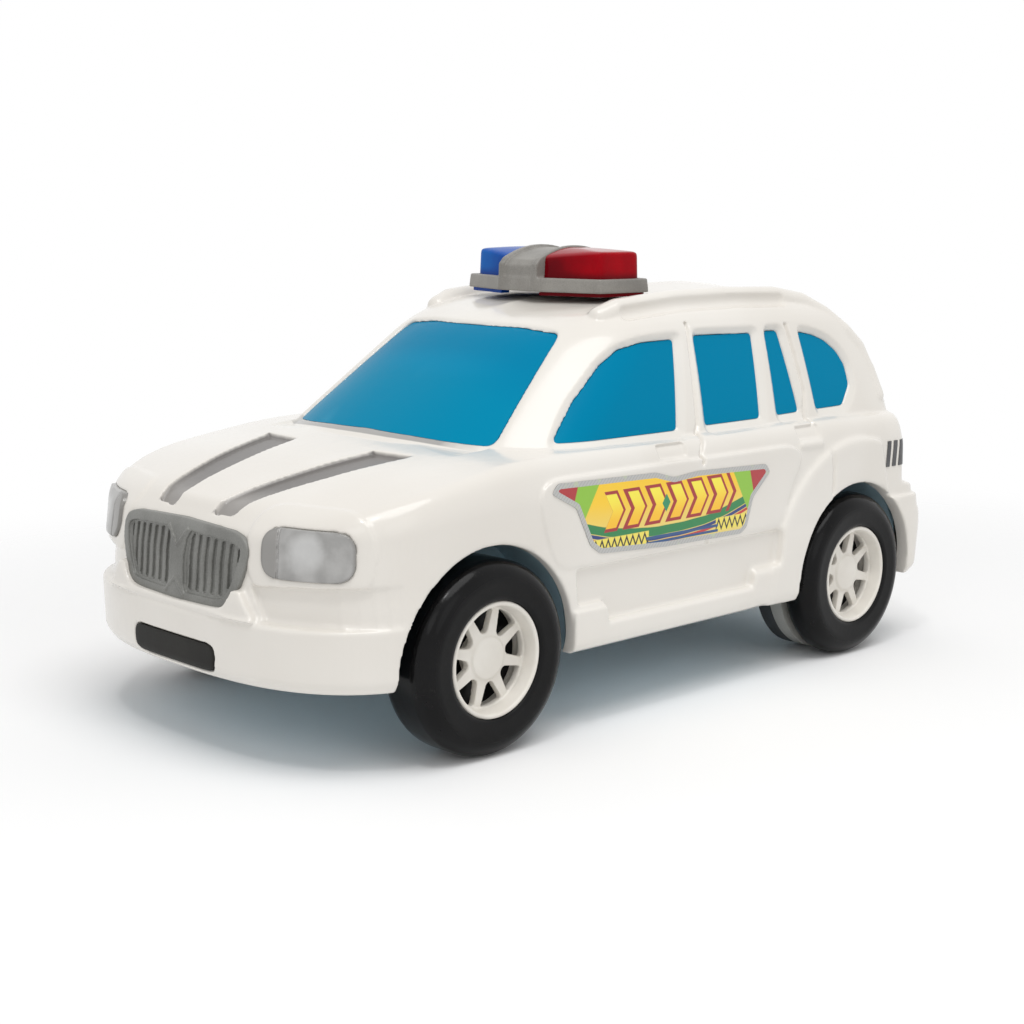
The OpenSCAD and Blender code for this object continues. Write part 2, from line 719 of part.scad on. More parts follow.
module body_shell() {
  color([0.93, 0.92, 0.89])
    difference() {
      union() {
        difference() {
          union() {
            body();
            cabin();
            haunches();
            rear_bumper();
            door_panels();
            roof_rails();
          }
          body(shell_wall, overrun * 2);
          cabin(shell_wall, overrun);
        }
        seats();
        intersection() {
          union() {
            posts(post_radius, floor_top + inner_gap, hz(post_top_share));
            post_webs();
          }
          body(shell_wall / 2, overrun);
        }
      }
      side_openings(0);
      end_openings(0);
      arches();
      pockets();
      pressed_lines();
      posts(screw_radius + inner_gap, 0, floor_top + screw_length + overrun);
      bar_pegs(peg_radius + inner_gap, overall_height / 8);
    }
}

module window_liner() {
  color([0.0, 0.47, 0.66])
    difference() {
      cabin(shell_wall + inner_gap);
      cabin(shell_wall + inner_gap + liner_wall, overrun);
      bar_pegs(peg_radius + inner_gap, overall_height / 8);
    }
}

floor_inset = shell_wall + inner_gap + overrun / 2;
floor_nose_inset = seat_depth + inner_gap;

function floor_points() =
  let (
    s = body_level_shares[0],
    nose = lx(s[1]) - floor_nose_inset,
    tail = lx(s[2]) + floor_inset,
    w = wy(s[3]) - floor_inset,
    nr = lx(nose_round_share),
    tr = lx(s[2] + tail_depth_share),
    left = [for (k = [0:half_steps]) outline(k, nose, tail, w, nr, tr, nose_power, tail_power)]
  )
  concat(left, [for (k = [half_steps - 1:-1:1]) [left[k][0], -left[k][1]]]);

well_radius = arch_radius + overrun;
well_outer_y = wy(body_level_shares[0][3]) - floor_inset;

module wells(extra, front_y, rear_y) {
  both_sides()
    for (w = [[front_x, front_y], [rear_x, rear_y]])
      intersection() {
        rod(w[0], axle_z, w[1] - extra, well_outer_y - w[1] + extra, well_radius + extra);
        translate([0, 0, floor_z]) linear_extrude(overall_height) polygon(floor_points());
      }
}

module well_cuts() {
  both_sides()
    for (w = [[front_x, front_well_y], [rear_x, rear_well_y]]) {
      rod(w[0], axle_z, w[1], half_width, well_radius);
      translate([w[0] - well_radius, w[1], 0]) cube([2 * well_radius, half_width, axle_z]);
    }
}

// belly pan below the floor, drawn in by a wall and raised by it
module belly(wall, height) {
  length = lx(belly_front_share - belly_back_share);
  translate([lx(belly_back_share) + wall, wall - belly_half_width, floor_z - belly_depth + wall])
    cube([length - 2 * wall, 2 * (belly_half_width - wall), height]);
}

module chassis() {
  color([0.28, 0.38, 0.44])
    difference() {
      union() {
        difference() {
          union() {
            translate([0, 0, floor_z]) linear_extrude(floor_thickness) polygon(floor_points());
            wells(well_wall, front_well_y, rear_well_y);
            belly(0, belly_depth + floor_thickness);
          }
          well_cuts();
          belly(floor_thickness, belly_depth + overrun);
        }
        both_sides()
          translate([front_x - block_half_length, front_well_y - well_wall - block_width, floor_z])
            cube([2 * block_half_length, block_width + well_wall / 2, axle_z + block_cover - floor_z]);
      }
      rod(front_x, axle_z, -half_width, overall_width, axle_radius + running_clearance);
      rod(rear_x, axle_z, -half_width, overall_width, axle_radius + inner_gap);
      translate([opening_back, -case_half - inner_gap, floor_z - overrun])
        cube([opening_front - opening_back, 2 * (case_half + inner_gap), floor_thickness + 2 * overrun]);
      both_sides()
        for (p = post_places) translate([p[0], p[1], floor_z - overrun])
          cylinder(h = floor_thickness + 2 * overrun, r = screw_radius + inner_gap, $fn = 32);
      translate([flywheel_centre[0] - flywheel_slot / 2, flywheel_y - gear_air, floor_z - overrun])
        cube([flywheel_slot, flywheel_width + 2 * gear_air, floor_thickness + 2 * overrun]);
      for (x = motor_screw_x) translate([x, 0, floor_z - overrun])
        cylinder(h = floor_thickness + 2 * overrun, r = screw_radius + seat_gap, $fn = 32);
    }
}

module skin_plate(depth) {
  intersection() {
    skin(-trim_proud, depth, -quarter, quarter);
    children();
  }
}

module grille() {
  slot_pitch = slot_width * 2;
  color([0.45, 0.45, 0.43])
    difference() {
      skin_plate(pocket_depth) grille_outline(0);
      difference() {
        intersection() {
          grille_outline(-slot_width * 1.2);
          both_sides()
            for (i = [0:6])
              translate([0, slot_pitch * (1.5 + i) - slot_width / 2, 0])
                cube([overall_length, slot_width, overall_height]);
        }
        skin(slot_depth - trim_proud, pocket_depth * 2, -quarter, quarter);
      }
    }
}

module lower_intake() {
  color([0.06, 0.06, 0.06])
    intersection() {
      skin(trim_proud / 2, pocket_depth, -quarter, quarter);
      intake_outline(0);
    }
}

module headlight_left() {
  color([0.70, 0.71, 0.72])
    intersection() {
      skin(-trim_proud, pocket_depth, 0, quarter);
      lamp_outline(0);
    }
}

module headlight_right() {
  mirror([0, 1, 0]) headlight_left();
}

bar_top = overall_height;
lens_top = bar_top - lens_drop;
lens_inner_y = strap_width / 2 + seat_gap;

module bar_plan(inset) {
  translate([bar_x, 0])
    polygon([
      [bar_depth / 2 - inset, 0], [bar_depth / 2 - inset, strap_width / 2],
      [bar_end_depth / 2 - inset / 2, bar_half_width - inset],
      [inset / 2 - bar_end_depth / 2, bar_half_width - inset],
      [inset - bar_depth / 2, strap_width / 2], [inset - bar_depth / 2, 0],
      [inset - bar_depth / 2, -strap_width / 2],
      [inset / 2 - bar_end_depth / 2, inset - bar_half_width],
      [bar_end_depth / 2 - inset / 2, inset - bar_half_width],
      [bar_depth / 2 - inset, -strap_width / 2]
    ]);
}

module bar_slab(inset, z0, z1) {
  translate([0, 0, z0]) linear_extrude(z1 - z0) bar_plan(inset);
}

// strap across the bar, drawn in by an inset, over a width along the car's side
module strap(inset, width) {
  foot = bar_depth / 2 - inset;
  crown = bar_depth / 2 - strap_crown_share * bar_depth - inset;
  shoulder = bar_z + bar_rim + (bar_top - bar_z - bar_rim) * strap_shoulder_share;
  translate([bar_x, 0, 0]) along_y(-width / 2, width)
    polygon([
      [foot, bar_z], [foot, bar_z + bar_rim], [foot - (foot - crown) / 3, shoulder],
      [crown, bar_top - inset], [-crown, bar_top - inset],
      [(foot - crown) / 3 - foot, shoulder], [-foot, bar_z + bar_rim], [-foot, bar_z]
    ]);
}

module light_bar_frame() {
  color([0.55, 0.54, 0.51]) {
    difference() {
      union() {
        bar_slab(0, bar_z, bar_z + bar_rim);
        strap(0, strap_width);
      }
      difference() {
        bar_slab(lens_set_back - seat_gap, bar_z - overrun, bar_z + bar_rim + overrun);
        translate([bar_x - bar_depth, -strap_width / 2, 0])
          cube([2 * bar_depth, strap_width, overall_height]);
      }
      difference() {
        strap(strap_wall * 2, 2 * strap_width);
        translate([bar_x - bar_depth, -strap_width * 2, 0])
          cube([2 * bar_depth, 4 * strap_width, bar_z + bar_rim]);
      }
    }
    bar_pegs(peg_radius, peg_length);
  }
}

module lens() {
  difference() {
    union() {
      hull() {
        bar_slab(lens_set_back, bar_z - lens_flange, bar_z + bar_rim + lens_set_back);
        bar_slab(lens_set_back * 2, bar_z - lens_flange, lens_top);
      }
      bar_slab(lens_set_back / 2, bar_z - lens_flange, bar_z - seat_gap);
    }
    hull() {
      bar_slab(lens_set_back + lens_wall, bar_z - lens_flange - overrun, bar_z + bar_rim + lens_set_back);
      bar_slab(lens_set_back * 2 + lens_wall, bar_z - lens_flange - overrun, lens_top - lens_wall);
    }
    translate([-overall_length, -overall_width, 0])
      cube([2 * overall_length, overall_width + lens_inner_y, overall_height * 2]);
  }
}

module red_lens() {
  color([0.62, 0.02, 0.06]) lens();
}

module blue_lens() {
  color([0.02, 0.16, 0.66]) mirror([0, 1, 0]) lens();
}

module door_decal_left() {
  color([0.85, 0.66, 0.12])
    along_y(door_face + seat_gap, sticker_thickness) polygon([for (s = decal_shares) place(s)]);
}

module door_decal_right() {
  mirror([0, 1, 0]) door_decal_left();
}

module rear_badge_left() {
  color([0.25, 0.26, 0.28])
    intersection() {
      skin(-seat_gap - sticker_thickness, -seat_gap, quarter + side_steps, half_steps);
      badge_outline(0);
    }
}

module rear_badge_right() {
  mirror([0, 1, 0]) rear_badge_left();
}

module screw(length) {
  difference() {
    union() {
      translate([0, 0, -screw_head_height])
        cylinder(h = screw_head_height, r = screw_head_radius, $fn = fine);
      cylinder(h = length, r = screw_radius, $fn = fine);
    }
    translate([-screw_head_radius - overrun, -driver_slot / 2, -screw_head_height - overrun])
      cube([2 * (screw_head_radius + overrun), driver_slot, overrun + screw_head_height / 2]);
  }
}

module chassis_screws() {
  color([0.62, 0.62, 0.60])
    both_sides()
      for (p = post_places)
        translate([p[0], p[1], floor_z - seat_gap]) screw(floor_thickness + screw_length);
}

rim_y = half_width - tyre_bulge;
plate_y = rim_y - dish_depth - spoke_plate;

function shoulder_arc(r, y, a0, a1) = [for (i = [0:6])
  let (a = a0 + (a1 - a0) * i / 6)
  [r + tyre_shoulder * cos(a), y + tyre_shoulder * sin(a)]];

// tyre drawn in radius and height, its outer face at height zero
module tyre_profile(width) {
  bore = rim_radius + seat_gap;
  r = tyre_radius - tyre_shoulder;
  polygon(concat(
    [[bore, -width], [r, -width]],
    shoulder_arc(r, tyre_shoulder - width, -90, 0),
    shoulder_arc(r, tyre_bulge - tyre_shoulder, 0, 90),
    [[bore + tyre_bulge * 2, tyre_bulge], [bore, 0]]
  ));
}

module wheel_turn(x) {
  translate([x, rim_y, axle_z]) rotate([-90, 0, 0]) rotate_extrude($fn = fine) children();
}

module tyre(x, width) {
  color([0.04, 0.04, 0.045]) wheel_turn(x) tyre_profile(width);
}

module spoke_holes() {
  inner = cap_radius + rim_wall;
  outer = rim_radius - rim_wall * 1.6;
  turn = 180 / spoke_count;
  reach = spoke_width / 2;
  for (i = [0:spoke_count - 1])
    rotate(i * 360 / spoke_count)
      intersection() {
        polygon([
          [inner, 0], [outer, outer * tan(turn) - reach / cos(turn)],
          [outer * 2, 0], [outer, reach / cos(turn) - outer * tan(turn)]
        ]);
        circle(r = outer, $fn = fine);
      }
}

module hub(x, width) {
  color([0.90, 0.89, 0.86])
    difference() {
      union() {
        difference() {
          rod(x, axle_z, rim_y - width, width, rim_radius);
          rod(x, axle_z, rim_y - width - overrun, width + 2 * overrun, rim_radius - rim_wall);
        }
        difference() {
          rod(x, axle_z, plate_y, spoke_plate, rim_radius - rim_wall / 2);
          translate([x, 0, axle_z]) along_y(plate_y - overrun, spoke_plate + 2 * overrun) spoke_holes();
        }
        rod(x, axle_z, plate_y - boss_depth, boss_depth + spoke_plate + cap_proud, cap_radius);
      }
      rod(x, axle_z, plate_y - boss_depth - overrun, boss_depth + overrun + spoke_plate / 2,
        axle_radius + seat_gap);
    }
}

module axle(x) {
  color([0.72, 0.72, 0.70])
    rod(x, axle_z, -plate_y - spoke_plate / 4, 2 * plate_y + spoke_plate / 2, axle_radius);
}

module front_axle() { axle(front_x); }
module front_hub_left() { hub(front_x, front_tyre_width); }
module front_hub_right() { mirror([0, 1, 0]) hub(front_x, front_tyre_width); }
module front_tyre_left() { tyre(front_x, front_tyre_width); }
module front_tyre_right() { mirror([0, 1, 0]) tyre(front_x, front_tyre_width); }
module rear_axle() { axle(rear_x); }
module rear_hub_left() { hub(rear_x, rear_tyre_width); }
module rear_hub_right() { mirror([0, 1, 0]) hub(rear_x, rear_tyre_width); }
module rear_tyre_left() { tyre(rear_x, rear_tyre_width); }
module rear_tyre_right() { mirror([0, 1, 0]) tyre(rear_x, rear_tyre_width); }

drive_y = rim_y - rear_tyre_width - seat_gap;
drive_radius = tyre_radius - drive_wheel_relief;
grip_seat = drive_radius - grip_ring_wall;

ring_y = drive_y - drive_wheel_width - grip_ring_width;

module drive_wheel_left() {
  color([0.62, 0.62, 0.60])
    difference() {
      union() {
        rod(rear_x, axle_z, drive_y - drive_wheel_width, drive_wheel_width, drive_radius);
        rod(rear_x, axle_z, ring_y, grip_ring_width + drive_wheel_width, grip_seat);
      }
      rod(rear_x, axle_z, plate_y - boss_depth - seat_gap, boss_depth, cap_radius + seat_gap);
      rod(rear_x, axle_z, -half_width, overall_width, axle_radius + seat_gap);
      difference() {
        rod(rear_x, axle_z, ring_y - overrun, grip_ring_width + overrun, grip_seat - rim_wall);
        rod(rear_x, axle_z, 0, half_width, cap_radius);
      }
    }
}

module drive_wheel_right() {
  mirror([0, 1, 0]) drive_wheel_left();
}

module grip_ring_left() {
  color([0.22, 0.23, 0.24])
    difference() {
      rod(rear_x, axle_z, ring_y, grip_ring_width - seat_gap, drive_radius);
      rod(rear_x, axle_z, 0, half_width, grip_seat + seat_gap);
    }
}

module grip_ring_right() {
  mirror([0, 1, 0]) grip_ring_left();
}

function pitch_radius(m, z) = m * z / 2;
function wheel_tip(m, z) = pitch_radius(m, z) + addendum_share * m;
function involute(a) = tan(a) * 180 / PI - a;

// half angle of a tooth at radius r
function tooth_half(m, z, r) =
  let (rb = pitch_radius(m, z) * cos(pressure_angle), q = max(r, rb))
  90 / z - backlash / pitch_radius(m, z) * 90 / PI + involute(pressure_angle) - involute(acos(rb / q));

module gear_shape(m, z, phase) {
  rp = pitch_radius(m, z);
  rf = rp - dedendum_share * m;
  ra = wheel_tip(m, z);
  rb = max(rp * cos(pressure_angle), rf);
  radii = [rf, rb, (rb + rp) / 2, rp, (rp + ra) / 2, ra];
  polygon([for (i = [0:z - 1]) let (c = phase + i * 360 / z) each concat(
    [for (r = radii) let (a = c - tooth_half(m, z, r)) [r * cos(a), r * sin(a)]],
    [for (j = [5:-1:0]) let (r = radii[j], a = c + tooth_half(m, z, r)) [r * cos(a), r * sin(a)]])]);
}

module gear(p, y, m, z, phase, bore) {
  difference() {
    translate([p[0], 0, p[1]]) along_y(y, gear_width) gear_shape(m, z, phase);
    rod(p[0], p[1], y - overrun, gear_width + 2 * overrun, bore);
  }
}

gear_left_y = gear_air / 2;
gear_right_y = -gear_air / 2 - gear_width;

module axle_gear() {
  color([0.86, 0.84, 0.76])
    gear(axle_centre, gear_left_y, module_one, axle_teeth, idler_angle, axle_radius + seat_gap);
}

module idler_gear() {
  bore = pin_radius + running_clearance;
  facing = idler_angle + 180 + 180 / pinion_teeth;
  color([0.82, 0.80, 0.70])
    difference() {
      union() {
        gear(idler_centre, gear_left_y, module_one, pinion_teeth, facing, bore);
        gear(idler_centre, gear_right_y, module_two, idler_teeth, flywheel_angle, bore);
        rod(idler_centre[0], idler_centre[1], gear_right_y, gear_width + gear_air + overrun, pin_radius * 2);
      }
      rod(idler_centre[0], idler_centre[1], -half_width, overall_width, bore);
    }
}

module idler_pin() {
  color([0.75, 0.75, 0.74])
    rod(idler_centre[0], idler_centre[1], -case_half, 2 * case_half, pin_radius);
}

module flywheel() {
  color([0.55, 0.56, 0.58])
    difference() {
      rod(flywheel_centre[0], flywheel_centre[1], flywheel_y, flywheel_width, flywheel_radius);
      rod(flywheel_centre[0], flywheel_centre[1], -half_width, overall_width, pin_radius + seat_gap);
    }
}

module flywheel_pinion() {
  facing = flywheel_angle + 180 + 180 / pinion_teeth;
  color([0.78, 0.70, 0.42]) {
    gear(flywheel_centre, gear_right_y, module_two, pinion_teeth, facing, pin_radius / 2);
    rod(flywheel_centre[0], flywheel_centre[1], flywheel_y, case_half - flywheel_y, pin_radius);
  }
}

// side view of the gear case, grown past the gears
module case_plan(grow) {
  hull() {
    translate(axle_centre) circle(r = wheel_tip(module_one, axle_teeth) + case_air + grow, $fn = fine);
    translate(idler_centre) circle(r = wheel_tip(module_two, idler_teeth) + case_air + grow, $fn = fine);
    translate(flywheel_centre) circle(r = wheel_tip(module_two, pinion_teeth) + case_air + grow, $fn = fine);
  }
}

module case_half_shape(length) {
  difference() {
    along_y(seat_gap / 2, length - seat_gap / 2) case_plan(case_wall);
    along_y(-overrun, length - case_wall + overrun) case_plan(0);
    rod(axle_centre[0], axle_centre[1], 0, half_width, axle_radius + running_clearance);
    rod(flywheel_centre[0], flywheel_centre[1], 0, half_width, pin_radius + running_clearance);
    rod(idler_centre[0], idler_centre[1], 0, half_width, pin_radius + seat_gap);
  }
}

module motor_case_left() {
  color([0.16, 0.17, 0.18])
    difference() {
      union() {
        case_half_shape(case_half);
        for (x = foot_x)
          translate([x, -foot_length / 2, floor_top + seat_gap])
            cube([foot_length, foot_length, foot_thickness]);
        difference() {
          translate([foot_x[0], seat_gap / 2, floor_top + seat_gap])
            cube([foot_x[1] + foot_length - foot_x[0], foot_length / 2, foot_thickness]);
          along_y(-half_width, overall_width) case_plan(0);
        }
      }
      for (x = motor_screw_x) translate([x, 0, floor_z])
        cylinder(h = half_width, r = screw_radius + seat_gap, $fn = 32);
    }
}

module motor_case_right() {
  color([0.19, 0.20, 0.21]) mirror([0, 1, 0]) case_half_shape(case_half);
}

module motor_screws() {
  color([0.62, 0.62, 0.60])
    for (x = motor_screw_x)
      translate([x, 0, floor_top + foot_thickness + 2 * seat_gap])
        mirror([0, 0, 1]) screw(foot_thickness + floor_thickness);
}

body_shell();
window_liner();
chassis();
grille();
lower_intake();
headlight_left();
headlight_right();
light_bar_frame();
blue_lens();
red_lens();
door_decal_left();
door_decal_right();
rear_badge_left();
rear_badge_right();
chassis_screws();
front_axle();
front_hub_left();
front_hub_right();
front_tyre_left();
front_tyre_right();
rear_axle();
rear_hub_left();
rear_hub_right();
rear_tyre_left();
rear_tyre_right();
drive_wheel_left();
drive_wheel_right();
grip_ring_left();
grip_ring_right();
axle_gear();
idler_gear();
idler_pin();
flywheel();
flywheel_pinion();
motor_case_left();
motor_case_right();
motor_screws();
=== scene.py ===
import math

import bmesh
import bpy
from mathutils import Matrix, Vector
from mathutils.bvhtree import BVHTree


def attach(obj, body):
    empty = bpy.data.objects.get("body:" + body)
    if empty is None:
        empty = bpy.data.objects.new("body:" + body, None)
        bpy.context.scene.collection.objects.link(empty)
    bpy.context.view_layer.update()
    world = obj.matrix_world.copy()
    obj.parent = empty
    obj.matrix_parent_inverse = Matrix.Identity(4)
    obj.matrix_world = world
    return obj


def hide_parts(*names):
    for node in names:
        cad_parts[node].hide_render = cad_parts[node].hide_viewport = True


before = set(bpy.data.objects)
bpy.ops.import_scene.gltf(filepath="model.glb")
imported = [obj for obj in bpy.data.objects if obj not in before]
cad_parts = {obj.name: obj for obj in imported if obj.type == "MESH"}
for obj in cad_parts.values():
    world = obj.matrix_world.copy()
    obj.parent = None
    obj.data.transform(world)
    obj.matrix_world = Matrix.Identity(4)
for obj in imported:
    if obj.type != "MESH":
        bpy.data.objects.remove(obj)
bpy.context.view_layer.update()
scene = bpy.context.scene

# outer sizes of the car: length, half width, height, in metres
LENGTH, HALF, HEIGHT = 0.252, 0.062, 0.1245
MM = 0.001

# lower body: height, nose, tail and half width of each level, as shares of the sizes above
LEVELS = [
    (0.169, 0.492, -0.484, 0.945), (0.190, 0.499, -0.493, 0.966), (0.292, 0.500, -0.495, 0.974),
    (0.308, 0.490, -0.495, 0.974), (0.336, 0.490, -0.494, 0.973), (0.346, 0.489, -0.490, 0.971),
    (0.400, 0.487, -0.486, 0.968), (0.412, 0.486, -0.466, 0.967),
]
BEND = (0.66, 0.482, -0.465, 0.962)
SHOULDER = (0.470, -0.462, 0.925)
SHOULDER_LINE = [
    (-0.5, 0.580), (-0.3, 0.590), (0, 0.591), (0.16, 0.590), (0.22, 0.584), (0.28, 0.569), (0.35, 0.547),
    (0.42, 0.513), (0.46, 0.489), (0.5, 0.470),
]
RIDGE = (0.446, -0.448)
RIDGE_LINE = [
    (-0.46, 0.585), (-0.4, 0.600), (0.15, 0.602), (0.23, 0.602), (0.29, 0.586), (0.35, 0.566), (0.42, 0.534),
    (0.45, 0.514),
]
# where the bonnet bends between shoulder and ridge: share of the way along, across and up
BONNET_BEND = (0.34, 0.66, 0.7)
# how far each bend of the section is rounded
BODY_EASE = [0, 0.3, 0, 0, 0, 0, 0, 0, 0.45, 0.5, 0.5, 0]
# where nose and tail start to round, and how square each is
BODY_ROUND = (0.318, 0.050, 2.8, 2.5)

# cabin: nose, tail, half width and height of its foot and waist, then the roof
CABIN_FOOT = (0.294, -0.470, 0.895, 0.545)
CABIN_WAIST = (0.194, -0.464, 0.802, 0.700)
ROOF_EDGE = (0.100, -0.404, 0.672)
ROOF_EDGE_LINE = [(-0.41, 0.846), (-0.3, 0.874), (-0.15, 0.880), (-0.05, 0.876), (0.04, 0.858), (0.1, 0.828)]
ROOF_RIDGE = (0.035, -0.335)
ROOF_RIDGE_LINE = [
    (-0.34, 0.893), (-0.26, 0.905), (-0.18, 0.899), (-0.12, 0.886), (-0.04, 0.884), (0.04, 0.869),
]
CABIN_EASE = [0, 0.5, 0.42, 0]
CABIN_ROUND = (0.16, 0.062, 2.3, 2.5)
# how much more than its depth a cabin skin moves in at the nose, at the tail and at the sides
CABIN_WALL = (1.6, 1.2, 1.07)

# side windows in length and height, end windows in half width and height
FRONT_WINDOW = [
    (0.160, 0.602), (0.142, 0.634), (0.118, 0.676), (0.092, 0.713), (0.066, 0.750), (0.036, 0.781),
    (0.002, 0.794), (-0.050, 0.797), (-0.022, 0.602),
]
MIDDLE_WINDOW = [(-0.086, 0.802), (-0.190, 0.799), (-0.171, 0.606), (-0.072, 0.605)]
STRIP_WINDOW = [(-0.216, 0.801), (-0.240, 0.800), (-0.246, 0.610), (-0.204, 0.608)]
QUARTER_WINDOW = [
    (-0.281, 0.794), (-0.308, 0.785), (-0.330, 0.769), (-0.348, 0.742), (-0.358, 0.708), (-0.358, 0.660),
    (-0.336, 0.613), (-0.282, 0.611),
]
SCREEN = [(0, 0.822), (0.28, 0.822), (0.495, 0.812), (0.645, 0.597), (0.300, 0.607), (0, 0.611)]
GATE = [(0, 0.795), (0.50, 0.790), (0.62, 0.655), (0, 0.650)]

# plates and relief of the nose in half width and height, the bonnet's flash in length and half width
GRILLE = [
    (0, 0.468), (0.16, 0.466), (0.34, 0.462), (0.405, 0.452), (0.430, 0.432), (0.420, 0.400), (0.385, 0.355),
    (0.350, 0.326), (0.315, 0.314), (0.26, 0.311), (0, 0.308),
]
INTAKE = [
    (0, 0.238), (0.24, 0.238), (0.275, 0.232), (0.285, 0.214), (0.275, 0.188), (0.24, 0.180), (0, 0.180),
]
FLASH = [(0.469, 0.130), (0.467, 0.262), (0.375, 0.392), (0.287, 0.488), (0.292, 0.262)]
CHEEK = [(0.440, 0.366), (0.520, 0.299), (0.945, 0.296), (0.945, 0.379), (0.645, 0.374)]
CHIN = [(0, 0.345), (0.42, 0.356), (0.500, 0.300), (0, 0.300)]

# relief of the sides in length and height, the roof rail in length, half width and height
SILL = [
    (0.172, 0.262), (0.124, 0.262), (0.120, 0.224), (-0.124, 0.224), (-0.128, 0.258), (-0.176, 0.258),
    (-0.176, 0.175), (0.172, 0.175),
]
DOOR = [
    (0.196, 0.357), (0.216, 0.450), (0.222, 0.520), (0.205, 0.546), (-0.190, 0.546), (-0.215, 0.520),
    (-0.190, 0.440), (-0.180, 0.362),
]
BOARD = [
    (0.168, 0.350), (0.165, 0.272), (0.124, 0.272), (0.120, 0.229), (-0.124, 0.229), (-0.128, 0.268),
    (-0.172, 0.268), (-0.176, 0.350),
]
STICKER = [
    (0.200, 0.537), (0.208, 0.517), (0.172, 0.480), (0.150, 0.396), (0.135, 0.376), (0.030, 0.364),
    (-0.098, 0.360), (-0.108, 0.374), (-0.118, 0.440), (-0.148, 0.492), (-0.140, 0.512), (-0.020, 0.520),
    (0.020, 0.514), (0.050, 0.530),
]
HANDLES = [(0.0125, 0.567), (-0.234, 0.567)]
SEAMS = [
    [(-0.075, 0.835), (-0.063, 0.707), (-0.054, 0.610), (-0.034, 0.554), (-0.030, 0.530)],
    [(-0.040, 0.361), (-0.048, 0.273)],
    [(-0.253, 0.819), (-0.256, 0.755), (-0.259, 0.659), (-0.250, 0.582)],
]
HAUNCH_SEAM = [(-0.268, 0.550), (-0.269, 0.516), (-0.272, 0.472), (-0.270, 0.411)]
RAIL = [
    (0.026, 0.535, 0.846), (0.004, 0.550, 0.862), (-0.080, 0.565, 0.877), (-0.180, 0.568, 0.880),
    (-0.270, 0.572, 0.876), (-0.320, 0.588, 0.860), (-0.352, 0.630, 0.828), (-0.376, 0.690, 0.785),
    (-0.395, 0.722, 0.745), (-0.406, 0.760, 0.687), (-0.412, 0.805, 0.625),
]

# headlamp: its middle, the way it looks, its width and height, and how tools along that way start and end
LAMP_CENTRE = Vector((0.446 * LENGTH, 0.645 * HALF, 0.436 * HEIGHT))
LAMP_TURN = math.radians(34)
LAMP_AHEAD = Vector((math.cos(LAMP_TURN), math.sin(LAMP_TURN), 0))
LAMP_ACROSS = Vector((-LAMP_AHEAD.y, LAMP_AHEAD.x, 0))
LAMP_SIZE = (0.385 * HALF, 0.092 * HEIGHT)
LAMP_BACK, LAMP_REACH = 0.02, 0.05

# axles, outer face of the wheels' rims and of the doors
FRONT_X, REAR_X, AXLE_Z = 0.0716, -0.0816, 0.025
RIM_Y = 0.0615
DOOR_FACE = 0.0605

# light bar: its place, foot and top, how strongly its top is arched along and across the car
BAR_X, BAR_Z, BAR_TOP = -0.043 * LENGTH, 0.895 * HEIGHT, 0.1245
CROWN, CROWN_ACROSS = 16.0, 1.9
# half depth at the strap, half depth and half width at the ends, half width of the strap, height of the rim
BAR_DEPTH, BAR_END, BAR_HALF, STRAP_HALF, RIM_HEIGHT = (n * MM for n in (17, 10.4, 27.2, 7.7, 4))

SIDES = ((1, "left"), (-1, "right"))


# car outline

NOSE_STEPS, SIDE_STEPS = 32, 48
HALF_STEPS = 2 * NOSE_STEPS + SIDE_STEPS


def through(line, x):
    """height at x of the smooth curve through a line's points"""
    x = min(max(x, line[0][0]), line[-1][0])
    i = min(sum(x >= p[0] for p in line), len(line) - 1) - 1

    def lean(j):
        a, b = line[max(j - 1, 0)], line[min(j + 1, len(line) - 1)]
        return (b[1] - a[1]) / (b[0] - a[0])

    span = line[i + 1][0] - line[i][0]
    t = (x - line[i][0]) / span
    a, b = line[i][1], line[i + 1][1]
    return (a + (b - a) * t * t * (3 - 2 * t)
            + span * t * (1 - t) * (lean(i) * (1 - t) - lean(i + 1) * t))


def outline(k, nose, tail, width, nose_round, tail_round, nose_power, tail_power):
    """point k of a half outline seen from above, counted from the nose to the tail"""
    if k <= NOSE_STEPS:
        a = math.pi / 2 * k / NOSE_STEPS
        return (nose_round + (nose - nose_round) * max(math.cos(a), 0) ** (2 / nose_power),
                width * math.sin(a) ** (2 / nose_power))
    if k >= NOSE_STEPS + SIDE_STEPS:
        a = math.pi / 2 * (k - NOSE_STEPS - SIDE_STEPS) / NOSE_STEPS
        side = width * max(math.cos(a), 0) ** (2 / tail_power) if k < HALF_STEPS else 0
        return tail_round + (tail - tail_round) * math.sin(a) ** (2 / tail_power), side
    f = (k - NOSE_STEPS) / SIDE_STEPS
    return nose_round + (tail_round - nose_round) * f, width


def eased(points, ease, steps=8):
    """points of a section with its bends rounded"""
    out = []
    for i, share in enumerate(ease):
        p = points[i]
        if share == 0:
            out.append(p)
            continue
        reach = share * min((points[i - 1] - p).length, (points[i + 1] - p).length)
        a = p + (points[i - 1] - p).normalized() * reach
        b = p + (points[i + 1] - p).normalized() * reach
        for n in range(steps + 1):
            t = n / steps
            out.append(a * (1 - t) ** 2 + p * (2 * t * (1 - t)) + b * t ** 2)
    return out


def lowered(points, drop):
    """the section with its foot drawn down in line with its lowest part"""
    foot, following = points[0], points[1]
    return [foot + (foot - following) * (drop / (following.z - foot.z))] + points[1:]


